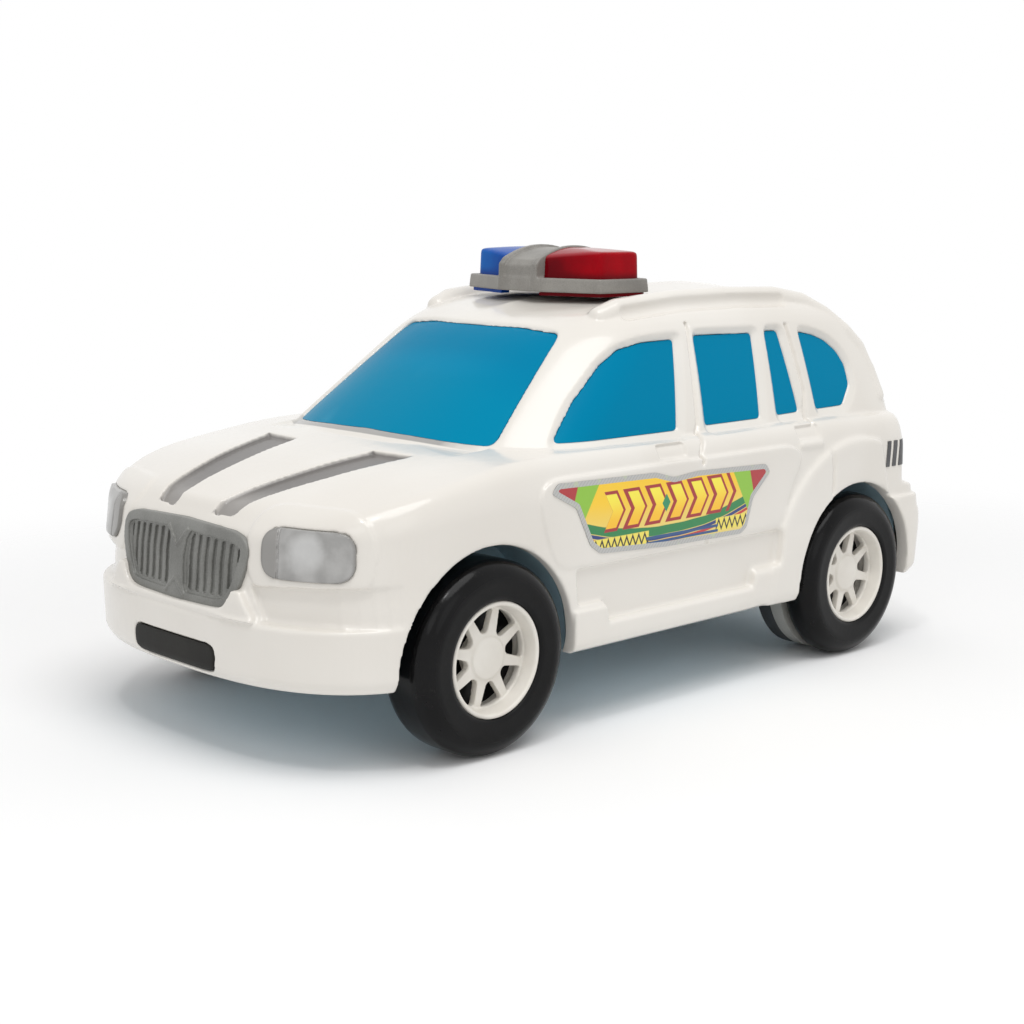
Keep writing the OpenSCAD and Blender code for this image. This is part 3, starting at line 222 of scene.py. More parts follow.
def body_section(k, d, drop):
    """row k of a skin that lies d inside the lower body, its foot drawn down by drop"""
    nose_round, tail_round, nose_power, tail_power = BODY_ROUND

    def ring(nose, tail, width):
        return outline(k, nose * LENGTH - d, tail * LENGTH + d, width * HALF - d, nose_round * LENGTH,
                       (tail + tail_round) * LENGTH, nose_power, tail_power)

    points = [Vector((*ring(*level[1:]), level[0] * HEIGHT)) for level in LEVELS]
    sx, sy = ring(*SHOULDER)
    sz = through(SHOULDER_LINE, sx / LENGTH) * HEIGHT - d
    low, high = SHOULDER[1] * LENGTH + d, SHOULDER[0] * LENGTH - d
    tail, nose = RIDGE[1] * LENGTH + d, RIDGE[0] * LENGTH - d
    rx = tail + (nose - tail) * (sx - low) / (high - low)
    rz = through(RIDGE_LINE, rx / LENGTH) * HEIGHT - d
    bend_z = points[-1].z + (sz - points[-1].z) * BEND[0]
    points.append(Vector((*ring(*BEND[1:]), bend_z)))
    points.append(Vector((sx, sy, sz)))
    along, across, up = BONNET_BEND
    points.append(Vector((sx + (rx - sx) * along, sy * across, sz + (rz - sz) * up)))
    points.append(Vector((rx, 0, rz)))
    return eased(lowered(points, drop), BODY_EASE)


def cabin_section(k, d, drop):
    """row k of a skin that lies d inside the cabin, its foot drawn down by drop"""
    nose_wall, tail_wall, side_wall = (d * share for share in CABIN_WALL)
    nose_round, tail_round, nose_power, tail_power = CABIN_ROUND

    def ring(share, wall):
        nose, tail, width = share[:3]
        return outline(k, nose * LENGTH - nose_wall, tail * LENGTH + tail_wall, width * HALF - wall,
                       (nose - nose_round) * LENGTH, (tail + tail_round) * LENGTH, nose_power, tail_power)

    points = [Vector((*ring(share, side_wall), share[3] * HEIGHT)) for share in (CABIN_FOOT, CABIN_WAIST)]
    ex, ey = ring(ROOF_EDGE, d)
    points.append(Vector((ex, ey, through(ROOF_EDGE_LINE, ex / LENGTH) * HEIGHT - d)))
    low, high = ROOF_EDGE[1] * LENGTH + tail_wall, ROOF_EDGE[0] * LENGTH - nose_wall
    tail, nose = ROOF_RIDGE[1] * LENGTH, ROOF_RIDGE[0] * LENGTH
    rx = tail + (nose - tail) * (ex - low) / (high - low)
    points.append(Vector((rx, 0, through(ROOF_RIDGE_LINE, rx / LENGTH) * HEIGHT - d)))
    return eased(lowered(points, drop), CABIN_EASE)


# mesh tools

def drawn(rows, ringed=True):
    """sheet pulled from its first row of points through the others"""
    bm = bmesh.new()
    row = [bm.verts.new(p) for p in rows[0]]
    pairs = list(zip(row, row[1:])) + ([(row[-1], row[0])] if ringed else [])
    edges = [bm.edges.new(pair) for pair in pairs]
    for points in rows[1:]:
        pulled = bmesh.ops.extrude_edge_only(bm, edges=edges)["geom"]
        fresh = {v for v in pulled if isinstance(v, bmesh.types.BMVert)}
        row = [next(e.other_vert(v) for e in v.link_edges if e.other_vert(v) in fresh) for v in row]
        edges = [e for e in pulled if isinstance(e, bmesh.types.BMEdge) and all(v in fresh for v in e.verts)]
        for v, p in zip(row, points):
            v.co = p
    return bm


def twinned(bm):
    """the shape with its mirror image on the car's other side"""
    copied = bmesh.ops.duplicate(bm, geom=bm.verts[:] + bm.edges[:] + bm.faces[:])["geom"]
    bmesh.ops.scale(bm, vec=(1, -1, 1), verts=[v for v in copied if isinstance(v, bmesh.types.BMVert)])
    return bm


def closed(bm):
    """the sheet with doubles merged, open rims filled and faces turned outwards"""
    bmesh.ops.remove_doubles(bm, verts=bm.verts, dist=2e-6)
    bmesh.ops.holes_fill(bm, edges=bm.edges, sides=0)
    bmesh.ops.recalc_face_normals(bm, faces=bm.faces)
    return bm


def solid(bm, name="tool"):
    mesh = bpy.data.meshes.new(name)
    bm.to_mesh(mesh)
    bm.free()
    piece = bpy.data.objects.new(name, mesh)
    scene.collection.objects.link(piece)
    return piece


def settled(piece):
    """the piece with its modifiers worked into its mesh"""
    shown = piece.evaluated_get(bpy.context.evaluated_depsgraph_get())
    mesh = bpy.data.meshes.new_from_object(shown)
    piece.modifiers.clear()
    old, piece.data = piece.data, mesh
    bpy.data.meshes.remove(old)
    return piece


def shaped(piece, operation, tools):
    for tool in tools:
        step = piece.modifiers.new("step", "BOOLEAN")
        step.operation, step.solver, step.object = operation, "MANIFOLD", tool
    settled(piece)
    for tool in tools:
        bpy.data.meshes.remove(tool.data)
    return piece


def merged(piece, *tools):
    return shaped(piece, "UNION", tools)


def cut(piece, *tools):
    return shaped(piece, "DIFFERENCE", tools)


def common(piece, *tools):
    return shaped(piece, "INTERSECT", tools)


def smoothed(piece, rounds, group=""):
    smooth = piece.modifiers.new("soft", "SMOOTH")
    smooth.factor, smooth.iterations, smooth.vertex_group = 0.5, rounds, group
    return settled(piece)


def softened(piece, voxel, rounds, triangles, zones=()):
    """the piece as one skin with rounded edges; zones are further rounds where a weight says so"""
    skin = piece.modifiers.new("skin", "REMESH")
    skin.mode, skin.voxel_size = "VOXEL", voxel
    settled(piece)
    for weight, times in zones:
        group = piece.vertex_groups.new(name="zone")
        for v in piece.data.vertices:
            w = weight(v.co)
            if w > 0:
                group.add([v.index], w, "REPLACE")
        smoothed(piece, times, group.name)
        piece.vertex_groups.clear()
    smoothed(piece, rounds)
    count = sum(len(p.vertices) - 2 for p in piece.data.polygons)
    if count > triangles:
        fewer = piece.modifiers.new("fewer", "DECIMATE")
        fewer.ratio = triangles / count
        settled(piece)
    return piece


def finished(piece, name, material, body, slot, *nodes, angle=40):
    """the piece named, painted and set on its body in place of its nodes"""
    piece.name = piece.data.name = name
    # clearing sets every face back to the first material, so a mesh with none is left alone
    if len(piece.data.materials) > 0:
        piece.data.materials.clear()
    for m in material if isinstance(material, list) else [material]:
        piece.data.materials.append(m)
    piece.data.shade_smooth()
    piece.data.set_sharp_from_angle(angle=math.radians(angle))
    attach(piece, body)
    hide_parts(*nodes)
    return piece


def lofted(section, d, drop):
    """closed body through the rows of a section, from the nose to the tail and on both sides"""
    return solid(closed(twinned(drawn([section(k, d, drop) for k in range(HALF_STEPS + 1)], False))))


def body(d=0, drop=0):
    return lofted(body_section, d, drop)


def cabin(d=0, drop=0):
    return lofted(cabin_section, d, drop)


def prism(points, lift):
    lift = Vector(lift)
    return closed(drawn([points, [p + lift for p in points]]))


def box(low, high):
    bm = bmesh.new()
    bmesh.ops.create_cube(bm, size=1)
    low, high = Vector(low), Vector(high)
    bmesh.ops.scale(bm, vec=high - low, verts=bm.verts)
    bmesh.ops.translate(bm, vec=(low + high) / 2, verts=bm.verts)
    return bm


def rod(x, z, y0, y1, r0, r1=None, segments=96):
    """round bar along the car's width"""
    bm = bmesh.new()
    place = Matrix.Translation((x, (y0 + y1) / 2, z)) @ Matrix.Rotation(-math.pi / 2, 4, "X")
    bmesh.ops.create_cone(bm, cap_ends=True, segments=segments, radius1=r0, radius2=r0 if r1 is None else r1,
                          depth=y1 - y0, matrix=place)
    return bm


# back from a tube's end: share of its radius along, and its size there
TUBE_END = ((0.92, 0.4), (0.7, 0.7), (0.4, 0.92))


def tube(points, radius, segments=20):
    """bar swept along a path of points with rounded ends"""
    ring = [(math.cos(a), math.sin(a)) for a in (2 * math.pi * n / segments for n in range(segments))]
    rows = []
    for i, p in enumerate(points):
        ahead = (points[min(i + 1, len(points) - 1)] - points[max(i - 1, 0)]).normalized()
        side = ahead.cross(Vector((0, 0, 1))).normalized()
        up = side.cross(ahead)

        def row(at, size):
            return [at + (side * c + up * s) * size for c, s in ring]

        if i == 0:
            rows += [row(p - ahead * radius * c, radius * s) for c, s in TUBE_END]
        rows.append(row(p, radius))
        if i == len(points) - 1:
            rows += [row(p + ahead * radius * c, radius * s) for c, s in reversed(TUBE_END)]
    return closed(drawn(rows))


def turned(profile, steps=96):
    """ring spun about the car's width from radius and width points"""
    bm = bmesh.new()
    row = [bm.verts.new((r, y, 0)) for r, y in profile]
    edges = [bm.edges.new(pair) for pair in zip(row, row[1:] + row[:1])]
    bmesh.ops.spin(bm, geom=row + edges, axis=(0, 1, 0), cent=(0, 0, 0), dvec=(0, 0, 0), angle=2 * math.pi,
                   steps=steps, use_merge=True)
    return closed(bm)


def rounded(points, reach, steps=5):
    """flat outline with its corners rounded"""
    points = [Vector(p) for p in points]
    out = []
    for i, p in enumerate(points):
        a, b = points[i - 1] - p, points[(i + 1) % len(points)] - p
        s = p + a.normalized() * min(reach, a.length * 0.48)
        e = p + b.normalized() * min(reach, b.length * 0.48)
        for n in range(steps + 1):
            t = n / steps
            out.append(s * (1 - t) ** 2 + p * (2 * t * (1 - t)) + e * t ** 2)
    return out


def grown(points, d):
    """flat outline moved outwards by d"""
    points = [Vector(p) for p in points]
    area = sum(a.x * b.y - b.x * a.y for a, b in zip(points, points[1:] + points[:1]))
    turn = 1 if area > 0 else -1
    out = []
    for i, p in enumerate(points):
        a = (p - points[i - 1]).normalized()
        b = (points[(i + 1) % len(points)] - p).normalized()
        na, nb = Vector((a.y, -a.x)) * turn, Vector((b.y, -b.x)) * turn
        out.append(p + (na + nb) * (d / max(1 + na.dot(nb), 0.4)))
    return out


def ribbon(points, width):
    """flat outline of a line drawn with a width"""
    edge = []
    for i in range(len(points)):
        ahead = (points[min(i + 1, len(points) - 1)] - points[max(i - 1, 0)]).normalized()
        edge.append(Vector((-ahead.y, ahead.x)) * width / 2)
    return [p + e for p, e in zip(points, edge)] + [p - e for p, e in reversed(list(zip(points, edge)))]


def pill(x, z, wide, high, reach):
    """flat rounded bar about a place on the car's side"""
    w, h = wide / 2, high / 2
    x, z = x * LENGTH, z * HEIGHT
    return rounded([(x + w, z + h), (x - w, z + h), (x - w, z - h), (x + w, z - h)], reach)


def side_shape(shares):
    return [Vector((x * LENGTH, z * HEIGHT)) for x, z in shares]


def end_shape(shares):
    half = [Vector((y * HALF, z * HEIGHT)) for y, z in shares]
    return half + [Vector((-p.x, p.y)) for p in reversed(half) if p.x > 0]


def along_y(shape, y0, y1):
    return prism([Vector((p.x, y0, p.y)) for p in shape], (0, y1 - y0, 0))


def along_x(shape, x0, x1):
    return prism([Vector((x0, p.x, p.y)) for p in shape], (x1 - x0, 0, 0))


def lamp_bar(grow):
    """bar with the headlamp's outline, along the way the lamp looks"""
    w, h = LAMP_SIZE[0] / 2 + grow, LAMP_SIZE[1] / 2 + grow
    shape = rounded([(w, h), (-w, h), (-w, -h), (w, -h)], LAMP_SIZE[1] * 0.42 + grow, 8)
    start = LAMP_CENTRE - LAMP_AHEAD * LAMP_BACK
    return prism([start + LAMP_ACROSS * p.x + Vector((0, 0, p.y)) for p in shape], LAMP_AHEAD * LAMP_REACH)


def side_bar(shape):
    """bar with a flat outline through the car's left side"""
    return along_y(shape, HALF / 2, HALF * 1.3)


def nose_bar(shares, grow, reach):
    """bar with a plate's outline, grown and rounded, through the nose"""
    return solid(along_x(rounded(grown(end_shape(shares), grow), reach), 0.08, 0.2))


def added(bm, shape):
    """the mesh with another shape put in, which is used up"""
    mesh = bpy.data.meshes.new("part")
    shape.to_mesh(mesh)
    shape.free()
    bm.from_mesh(mesh)
    bpy.data.meshes.remove(mesh)
    return bm


def mirrored(bm):
    """the shape on the car's other side"""
    bmesh.ops.scale(bm, vec=(1, -1, 1), verts=bm.verts)
    bmesh.ops.recalc_face_normals(bm, faces=bm.faces)
    return bm


def joined_sides(*shapes):
    """several shapes of the left side as one tool for both sides"""
    bm = bmesh.new()
    for shape in shapes:
        added(bm, shape)
    twinned(bm)
    bmesh.ops.recalc_face_normals(bm, faces=bm.faces)
    return solid(bm)


# paint tools

class Wire:
    """a socket of a material, with arithmetic"""

    def __init__(self, tree, socket):
        self.tree, self.socket = tree, socket

    def add(self, kind, settings=None, sockets=None, out=0):
        node = self.tree.nodes.new(kind)
        for key, value in (settings or {}).items():
            setattr(node, key, value)
        for key, value in (sockets or {}).items():
            if isinstance(value, Wire):
                self.tree.links.new(value.socket, node.inputs[key])
            else:
                node.inputs[key].default_value = value
        return Wire(self.tree, node.outputs[out])

    def math(self, operation, *values):
        return self.add("ShaderNodeMath", {"operation": operation}, dict(enumerate(values)))

    def __add__(self, other):
        return self.math("ADD", self, other)

    def __sub__(self, other):
        return self.math("SUBTRACT", self, other)

    def __rsub__(self, other):
        return self.math("SUBTRACT", other, self)

    def __mul__(self, other):
        return self.math("MULTIPLY", self, other)

    def __truediv__(self, other):
        return self.math("DIVIDE", self, other)

    def __rtruediv__(self, other):
        return self.math("DIVIDE", other, self)

    def __pow__(self, other):
        return self.math("POWER", self, other)

    def __abs__(self):
        return self.math("ABSOLUTE", self)

    def __mod__(self, other):
        return self.math("FLOORED_MODULO", self, other)

    __radd__, __rmul__ = __add__, __mul__

    def over(self, low, high):
        """0 below low to 1 above high, with a soft way between them"""
        return self.add("ShaderNodeMapRange", {"interpolation_type": "SMOOTHSTEP"},
                        {"Value": self, "From Min": low, "From Max": high})

    def noise(self, size, detail):
        """cloudy values on a position, size being the width of a cloud in metres"""
        return self.add("ShaderNodeTexNoise", {}, {"Vector": self, "Scale": 1 / size, "Detail": detail,
                                                   "Roughness": 0.5})

    def mix(self, low, high):
        """low where this value is 0, high where it is 1"""
        settings = {"data_type": "RGBA", "clamp_factor": True}
        return self.add("ShaderNodeMix", settings, {0: self, 6: low, 7: high}, 2)

    def parts(self):
        """the three values of a position"""
        node = self.add("ShaderNodeSeparateXYZ", {}, {0: self}).socket.node
        return [Wire(self.tree, node.outputs[i]) for i in range(3)]

    def bump(self, distance):
        """relief whose height is this value times a distance in metres"""
        return self.add("ShaderNodeBump", {}, {"Strength": 1.0, "Distance": distance, "Height": self})


def paint(red, green, blue):
    """colour from the values seen on a screen"""
    return tuple((c / 255 / 12.92 if c <= 10 else ((c / 255 + 0.055) / 1.055) ** 2.4)
                 for c in (red, green, blue)) + (1.0,)


def finish(name, recipe, **fixed):
    """material whose recipe gives what changes over the surface, and fixed what does not"""
    material = bpy.data.materials.new(name)
    material.use_nodes = True
    tree = material.node_tree
    tree.nodes.clear()
    shader = tree.nodes.new("ShaderNodeBsdfPrincipled")
    end = tree.nodes.new("ShaderNodeOutputMaterial")
    tree.links.new(shader.outputs[0], end.inputs[0])
    place = Wire(tree, tree.nodes.new("ShaderNodeTexCoord").outputs["Object"])
    for key, value in fixed.items():
        shader.inputs[key.replace("_", " ")].default_value = value
    for key, value in recipe(place).items():
        tree.links.new(value.socket, shader.inputs[key])
    return material


def inside(x, y, shape, soft):
    """1 within a flat shape with only outward corners, fading over its edge"""
    points = [Vector(p) for p in shape]
    area = sum(a.x * b.y - b.x * a.y for a, b in zip(points, points[1:] + points[:1]))
    nearest = None
    for a, b in zip(points, points[1:] + points[:1]):
        d = (b - a).normalized() * (1 if area > 0 else -1)
        gap = y * d.x - x * d.y - (a.y * d.x - a.x * d.y)
        nearest = gap if nearest is None else nearest.math("MINIMUM", nearest, gap)
    return nearest.over(-soft, soft)


# finishes

def moulded(place, light, dark, size=0.03, grain=0.0006, depth=0.00003, gloss=(0.24, 0.34)):
    """moulded plastic: slow cloudy colour, uneven gloss and a fine skin"""
    cloud = place.noise(size, 3)
    fine = place.noise(grain, 2)
    return {
        "Base Color": cloud.over(0.3, 0.7).mix(dark, light),
        "Roughness": cloud * (gloss[1] - gloss[0]) + gloss[0],
        "Normal": fine.bump(depth),
    }


def shell_recipe(place):
    x, y, z = place.parts()
    side = abs(y)
    cloud = place.noise(0.045, 2)
    base = cloud.over(0.3, 0.7).mix(paint(228, 223, 215), paint(234, 230, 223))
    flash = [(a * LENGTH, b * HALF) for a, b in FLASH]
    sprayed = inside(x, side, flash, 0.0004) * z.over(0.055, 0.058)
    worn = (x + place.noise(0.012, 3) * 0.012).over(0.108, 0.126)
    silver = worn.mix(paint(100, 96, 93), paint(158, 154, 150))
    rear = (x + place.noise(0.004, 2) * 0.006).over(0.068, 0.080)
    silver = rear.mix(paint(132, 128, 125), silver)
    base = sprayed.mix(base, silver)
    bow = x * 1000 + (side * 1000) ** 2.3 * 0.00156
    cowl = bow.over(60.0, 60.6) * (1 - bow.over(64.2, 64.7))
    cowl = cowl * z.over(0.071, 0.072) * (1 - z.over(0.0775, 0.0785))
    cowl = cowl * y.over(-0.042, -0.038) * (1 - (y + place.noise(0.006, 2) * 0.01).over(0.030, 0.044))
    base = (cowl * 0.85).mix(base, paint(140, 139, 137))
    skin = place.noise(0.0035, 2)
    return {
        "Base Color": base,
        "Roughness": cloud * 0.08 + 0.17 + sprayed * 0.2,
        "Normal": skin.bump(0.00004),
    }


def window_recipe(place):
    x, y, z = place.parts()
    cloud = place.noise(0.03, 3)
    # painted light: the screen gets a lighter blue than the side panes, as if it were lit more, and a
    # lighter one still towards its top, which lifts the shade under the roof's edge
    front = (x - z * 0.2).over(0.012, 0.03)
    base = front.mix(paint(0, 128, 168), z.over(0.088, 0.104).mix(paint(0, 134, 172), paint(0, 170, 214)))
    # painted reflection: pale streaks over the right half of the screen
    reflection_streaks = place.add("ShaderNodeMapping", {}, {"Vector": place, "Rotation": (0.0, 0.5, 0.7),
                                                 "Scale": (0.3, 1.2, 2.0)})
    painted_reflection = reflection_streaks.noise(0.035, 2).over(0.55, 0.8) * front * (1 - y.over(-0.02, 0.03))
    base = (painted_reflection * 0.3).mix(base, paint(96, 184, 214))
    return {
        "Base Color": base,
        "Roughness": cloud * 0.1 + 0.26,
        "Normal": place.noise(0.006, 2).bump(0.00005),
    }


def flaked(dark, light, size, dull, depth):
    """grey plastic with a fine metal flake"""
    def recipe(place):
        cloud = place.noise(size, 3)
        flake = place.noise(0.0004, 2)
        return {
            "Base Color": (cloud * 0.7 + flake * 0.3).over(0.3, 0.7).mix(dark, light),
            "Roughness": cloud * dull + 0.34,
            "Normal": flake.bump(depth),
        }
    return recipe


def lamp_recipe(place):
    x, y, z = place.parts()
    across = abs(y) * math.cos(LAMP_TURN) - x * math.sin(LAMP_TURN)
    across = across - (LAMP_CENTRE.y * math.cos(LAMP_TURN) - LAMP_CENTRE.x * math.sin(LAMP_TURN))
    up = z - LAMP_CENTRE.z
    # painted highlight: a soft pale patch in the lens's middle, where the glossy lens would reflect the
    # lamps
    wobble = place.noise(0.006, 3) - 0.5
    painted_highlight = ((across + wobble * 0.006) / 0.0062) ** 2 + ((up - 0.0010 + wobble * 0.004) / 0.0052) ** 2
    cloud = place.noise(0.007, 4)
    base = cloud.over(0.3, 0.7).mix(paint(150, 149, 147), paint(176, 175, 173))
    base = ((1 - painted_highlight.over(0.0, 1.0)) * 0.5).mix(base, paint(222, 222, 221))
    base = across.over(-0.0082, -0.0070).mix(paint(146, 144, 141), base)
    # painted shade: a darker band along the lens's edge, where it meets the shell
    rim = ((across / 0.0121) ** 4 + (up / 0.0062) ** 4).over(0.72, 0.98)
    base = (rim * 0.6).mix(base, paint(120, 118, 114))
    return {
        "Base Color": base,
        "Roughness": cloud * 0.12 + 0.24,
        "Normal": place.noise(0.0007, 2).bump(0.00003),
    }


def tyre_recipe(place):
    x, _, z = place.parts()
    cloud = place.noise(0.01, 3)
    scuff = place.noise(0.0022, 4)
    front = x.math("GREATER_THAN", x, 0.0)
    dx = x - (front * (FRONT_X - REAR_X) + REAR_X)
    dz = z - AXLE_Z
    radius = (dx * dx + dz * dz) ** 0.5
    tread = radius.over(0.0195, 0.0225)
    dust = scuff.over(0.62, 0.75) * 0.25
    base = cloud.over(0.3, 0.7).mix(paint(9, 9, 10), paint(15, 15, 16))
    base = dust.mix(base, paint(36, 35, 34))
    return {
        "Base Color": base,
        "Roughness": (1 - tread) * 0.2 + cloud * 0.08 + 0.12,
        "Normal": scuff.bump(0.00004),
    }


def lens_recipe(light, dark, sky_reflection):
    """clear plastic: deep at the strap, lighter at the end, darker low down as painted shade under the rim,
    with a painted reflection of the sky on its arched top
    """
    def recipe(place):
        cloud = place.noise(0.01, 2)
        x, y, z = place.parts()
        along = x - BAR_X
        depth = BAR_TOP - along * along * CROWN - z
        end = abs(y).over(0.009, 0.024) * 0.75 + place.noise(0.006, 3).over(0.35, 0.7) * 0.25
        base = end.mix(dark, light)
        # painted shade: the lens darkens low down, under the frame's rim
        base = z.over(BAR_Z + 0.0035, BAR_Z + 0.0065).mix(dark, base)
        # painted reflection: the arched top takes the sky's colour
        top = (1 - depth.over(0.0005, 0.0012)) * 0.75
        return {
            "Base Color": top.mix(base, sky_reflection),
            "Roughness": cloud * 0.06 + 0.05,
            "Normal": place.noise(0.004, 2).bump(0.00005),
        }
    return recipe


def sticker_recipe(place):
    x, _, z = place.parts()
    u, v = x * 1000, z * 1000
    warp = place.noise(0.02, 2) - 0.5
    base = (v + warp * 6).over(48, 62).mix(paint(238, 214, 120), paint(255, 208, 30))
    sweep = v - 51.0 - ((u - 8) / 15) ** 2 * 0.9 + warp * 1.5
    base = (sweep.over(-2.4, -2.2) * (1 - sweep.over(0.0, 0.2))).mix(base, paint(18, 128, 66))
    base = (sweep.over(-3.6, -3.4) * (1 - sweep.over(-2.6, -2.4))).mix(base, paint(24, 50, 120))
    base = (sweep.over(-4.6, -4.4) * (1 - sweep.over(-3.8, -3.6))).mix(base, paint(196, 40, 40))
    lime = (abs(u - 8) - 33 + (v - 55) * 0.6).over(0, 0.3)
    base = lime.mix(base, paint(142, 196, 52))
    tip = (abs(u - 8) - 38 + (v - 55) * 0.3).over(0, 0.3)
    base = tip.mix(base, paint(176, 34, 40))
    lean = u - abs(v - 57.4) * 0.62
    slot = (lean + 62) % 8.6
    tall = v.over(52.0, 52.2) * (1 - v.over(62.8, 63.0))
    within = lean.over(-22.0, -21.9) * (1 - lean.over(29.6, 29.7))
    edge = slot.over(0.5, 0.7) * (1 - slot.over(7.0, 7.2)) * tall * within
    core_tall = v.over(52.9, 53.1) * (1 - v.over(61.9, 62.1))
    core = slot.over(1.4, 1.6) * (1 - slot.over(5.5, 5.7)) * core_tall * within
    base = edge.mix(base, paint(164, 26, 30))
    base = core.mix(base, v.over(53.5, 61.5).mix(paint(255, 196, 26), paint(255, 240, 70)))
    gem = (abs(u - 8.2) * 1.5 + abs(v - 57.4)).over(2.4, 2.6)
    base = gem.mix(paint(20, 140, 92), base)
    band = v.over(46.9, 47.1) * (1 - v.over(50.5, 50.7)) * (abs(u - 1) - 14).over(0, 0.3)
    base = band.mix(base, paint(244, 226, 96))
    wave = abs((u + 60) % 2.4 - 1.2) * 2.2 + 47.4
    base = (band * (1 - abs(v - wave).over(0.5, 0.7))).mix(base, paint(34, 30, 28))
    stripe = abs((v - 47.8) % 1.4 - 0.7).over(0.3, 0.45)
    middle = v.over(46.2, 46.4) * (1 - v.over(49.4, 49.6)) * (1 - (abs(u - 1) - 15).over(0, 0.3))
    base = (middle * (1 - stripe)).mix(base, paint(28, 78, 132))
    grain = place.noise(0.0005, 2)
    return {
        "Base Color": base,
        "Roughness": grain * 0.12 + 0.26,
        "Normal": place.noise(0.004, 2).bump(0.00006),
    }


def foil_recipe(place):
    x, _, z = place.parts()
    hatch = ((x + z) * 1000) % 1.3
    glint = place.noise(0.003, 3)
    base = (hatch.over(0.3, 0.5) * 0.35).mix(paint(176, 176, 174), paint(214, 214, 212))
    # painted glints: lighter, greener patches over the foil
    base = glint.over(0.58, 0.72).mix(base, paint(192, 200, 176))
    return {"Base Color": base, "Roughness": glint * 0.2 + 0.28, "Normal": glint.bump(0.00004)}


def brushed(dark, light, dull):
    """metal with fine lines along the car's width"""
    def recipe(place):
        along = place.add("ShaderNodeMapping", {}, {"Vector": place, "Scale": (1.0, 0.06, 1.0)})
        lines = along.noise(0.0006, 3)
        return {
            "Base Color": lines.over(0.3, 0.7).mix(dark, light),
            "Roughness": lines * 0.2 + dull,
            "Normal": lines.bump(0.00002),
        }
    return recipe


def plain(light, dark, **kw):
    return lambda place: moulded(place, light, dark, **kw)


shell_white = finish("shell_white", shell_recipe, Coat_Weight=0.25, Coat_Roughness=0.06, IOR=1.48)
window_blue = finish("window_blue", window_recipe, Specular_IOR_Level=0.03)
bar_grey = finish("bar_grey", flaked(paint(120, 117, 112), paint(148, 145, 139), 0.012, 0.12, 0.00004))
grille_grey = finish("grille_grey", flaked(paint(108, 108, 104), paint(134, 134, 130), 0.014, 0.14, 0.00005),
                     Metallic=0.15)
intake_black = finish("intake_black", plain(paint(40, 39, 36), paint(28, 27, 25), gloss=(0.5, 0.62)),
                      Specular_IOR_Level=0.2)
lamp_silver = finish("lamp_silver", lamp_recipe, Metallic=0.1, Coat_Weight=0.2, Coat_Roughness=0.1)
tyre_black = finish("tyre_black", tyre_recipe, Specular_IOR_Level=0.16)
wheel_white = finish("wheel_white", plain(paint(232, 228, 220), paint(222, 217, 208), size=0.012,
                                          gloss=(0.34, 0.46)))
floor_slate = finish("floor_slate", plain(paint(172, 200, 212), paint(152, 180, 192), gloss=(0.36, 0.5)))
# the third colour of each lens is its painted reflection of the sky
lens_blue = finish("lens_blue", lens_recipe(paint(0, 108, 196), paint(0, 64, 156), paint(44, 92, 176)),
                   Coat_Weight=0.08, Specular_IOR_Level=0.03, Coat_Roughness=0.04)
lens_red = finish("lens_red", lens_recipe(paint(166, 0, 18), paint(106, 4, 16), paint(166, 66, 72)),
                  Coat_Weight=0.08, Specular_IOR_Level=0.03, Coat_Roughness=0.04)
sticker_art = finish("sticker_art", sticker_recipe, Coat_Weight=0.4, Coat_Roughness=0.12)
sticker_foil = finish("sticker_foil", foil_recipe, Metallic=0.35)
badge_grey = finish("badge_grey", plain(paint(78, 78, 80), paint(58, 58, 60), size=0.004, gloss=(0.3, 0.4)))
drive_grey = finish("drive_grey", plain(paint(172, 171, 166), paint(156, 155, 150), gloss=(0.36, 0.5)))
grip_rubber = finish("grip_rubber", plain(paint(64, 66, 68), paint(48, 50, 52), grain=0.0012, depth=0.0001,
                                          gloss=(0.6, 0.75)))
steel = finish("steel", brushed(paint(168, 168, 166), paint(205, 205, 203), 0.22), Metallic=1.0)
brass = finish("brass", brushed(paint(176, 140, 70), paint(214, 178, 104), 0.24), Metallic=1.0)
gear_nylon = finish("gear_nylon", plain(paint(226, 222, 206), paint(212, 207, 190), size=0.008,
                                        gloss=(0.38, 0.5)))
case_black = finish("case_black", plain(paint(38, 38, 40), paint(28, 28, 30), gloss=(0.4, 0.55)))


# body shell

# how far a window's recess is wider than its glass, and how deep it is there, in mm
SLOPE = [(2.2, 0.4), (1.6, 0.75), (1.0, 1.05), (0.5, 1.3), (0.0, 6.0)]
# share of that depth at the sides, the screen and the tailgate
SLOPE_SHARES = (1, 0.55, 1)
# start of each step of the recess beside the grille, and its depth, in mm
CHEEK_STEPS = ((99, 0.3), (102, 0.6), (105, 0.9), (108, 1.15), (111, 1.4))
ARCH_RADIUS = 28.5 * MM
SEAM_WIDTH, SEAM_SINK = 1.3 * MM, 1.1 * MM

# line behind which the haunch runs out into the body, how it leans and how wide its edge is
HAUNCH_END = [Vector((-0.0925, 0.070)), Vector((-0.0990, 0.047))]
HAUNCH_LEAN = (HAUNCH_END[0].x - HAUNCH_END[1].x) / (HAUNCH_END[0].y - HAUNCH_END[1].y)
HAUNCH_EDGE = 0.006
# nearer to the car's middle than this, nothing belongs to the haunch
HAUNCH_INSIDE = 0.03


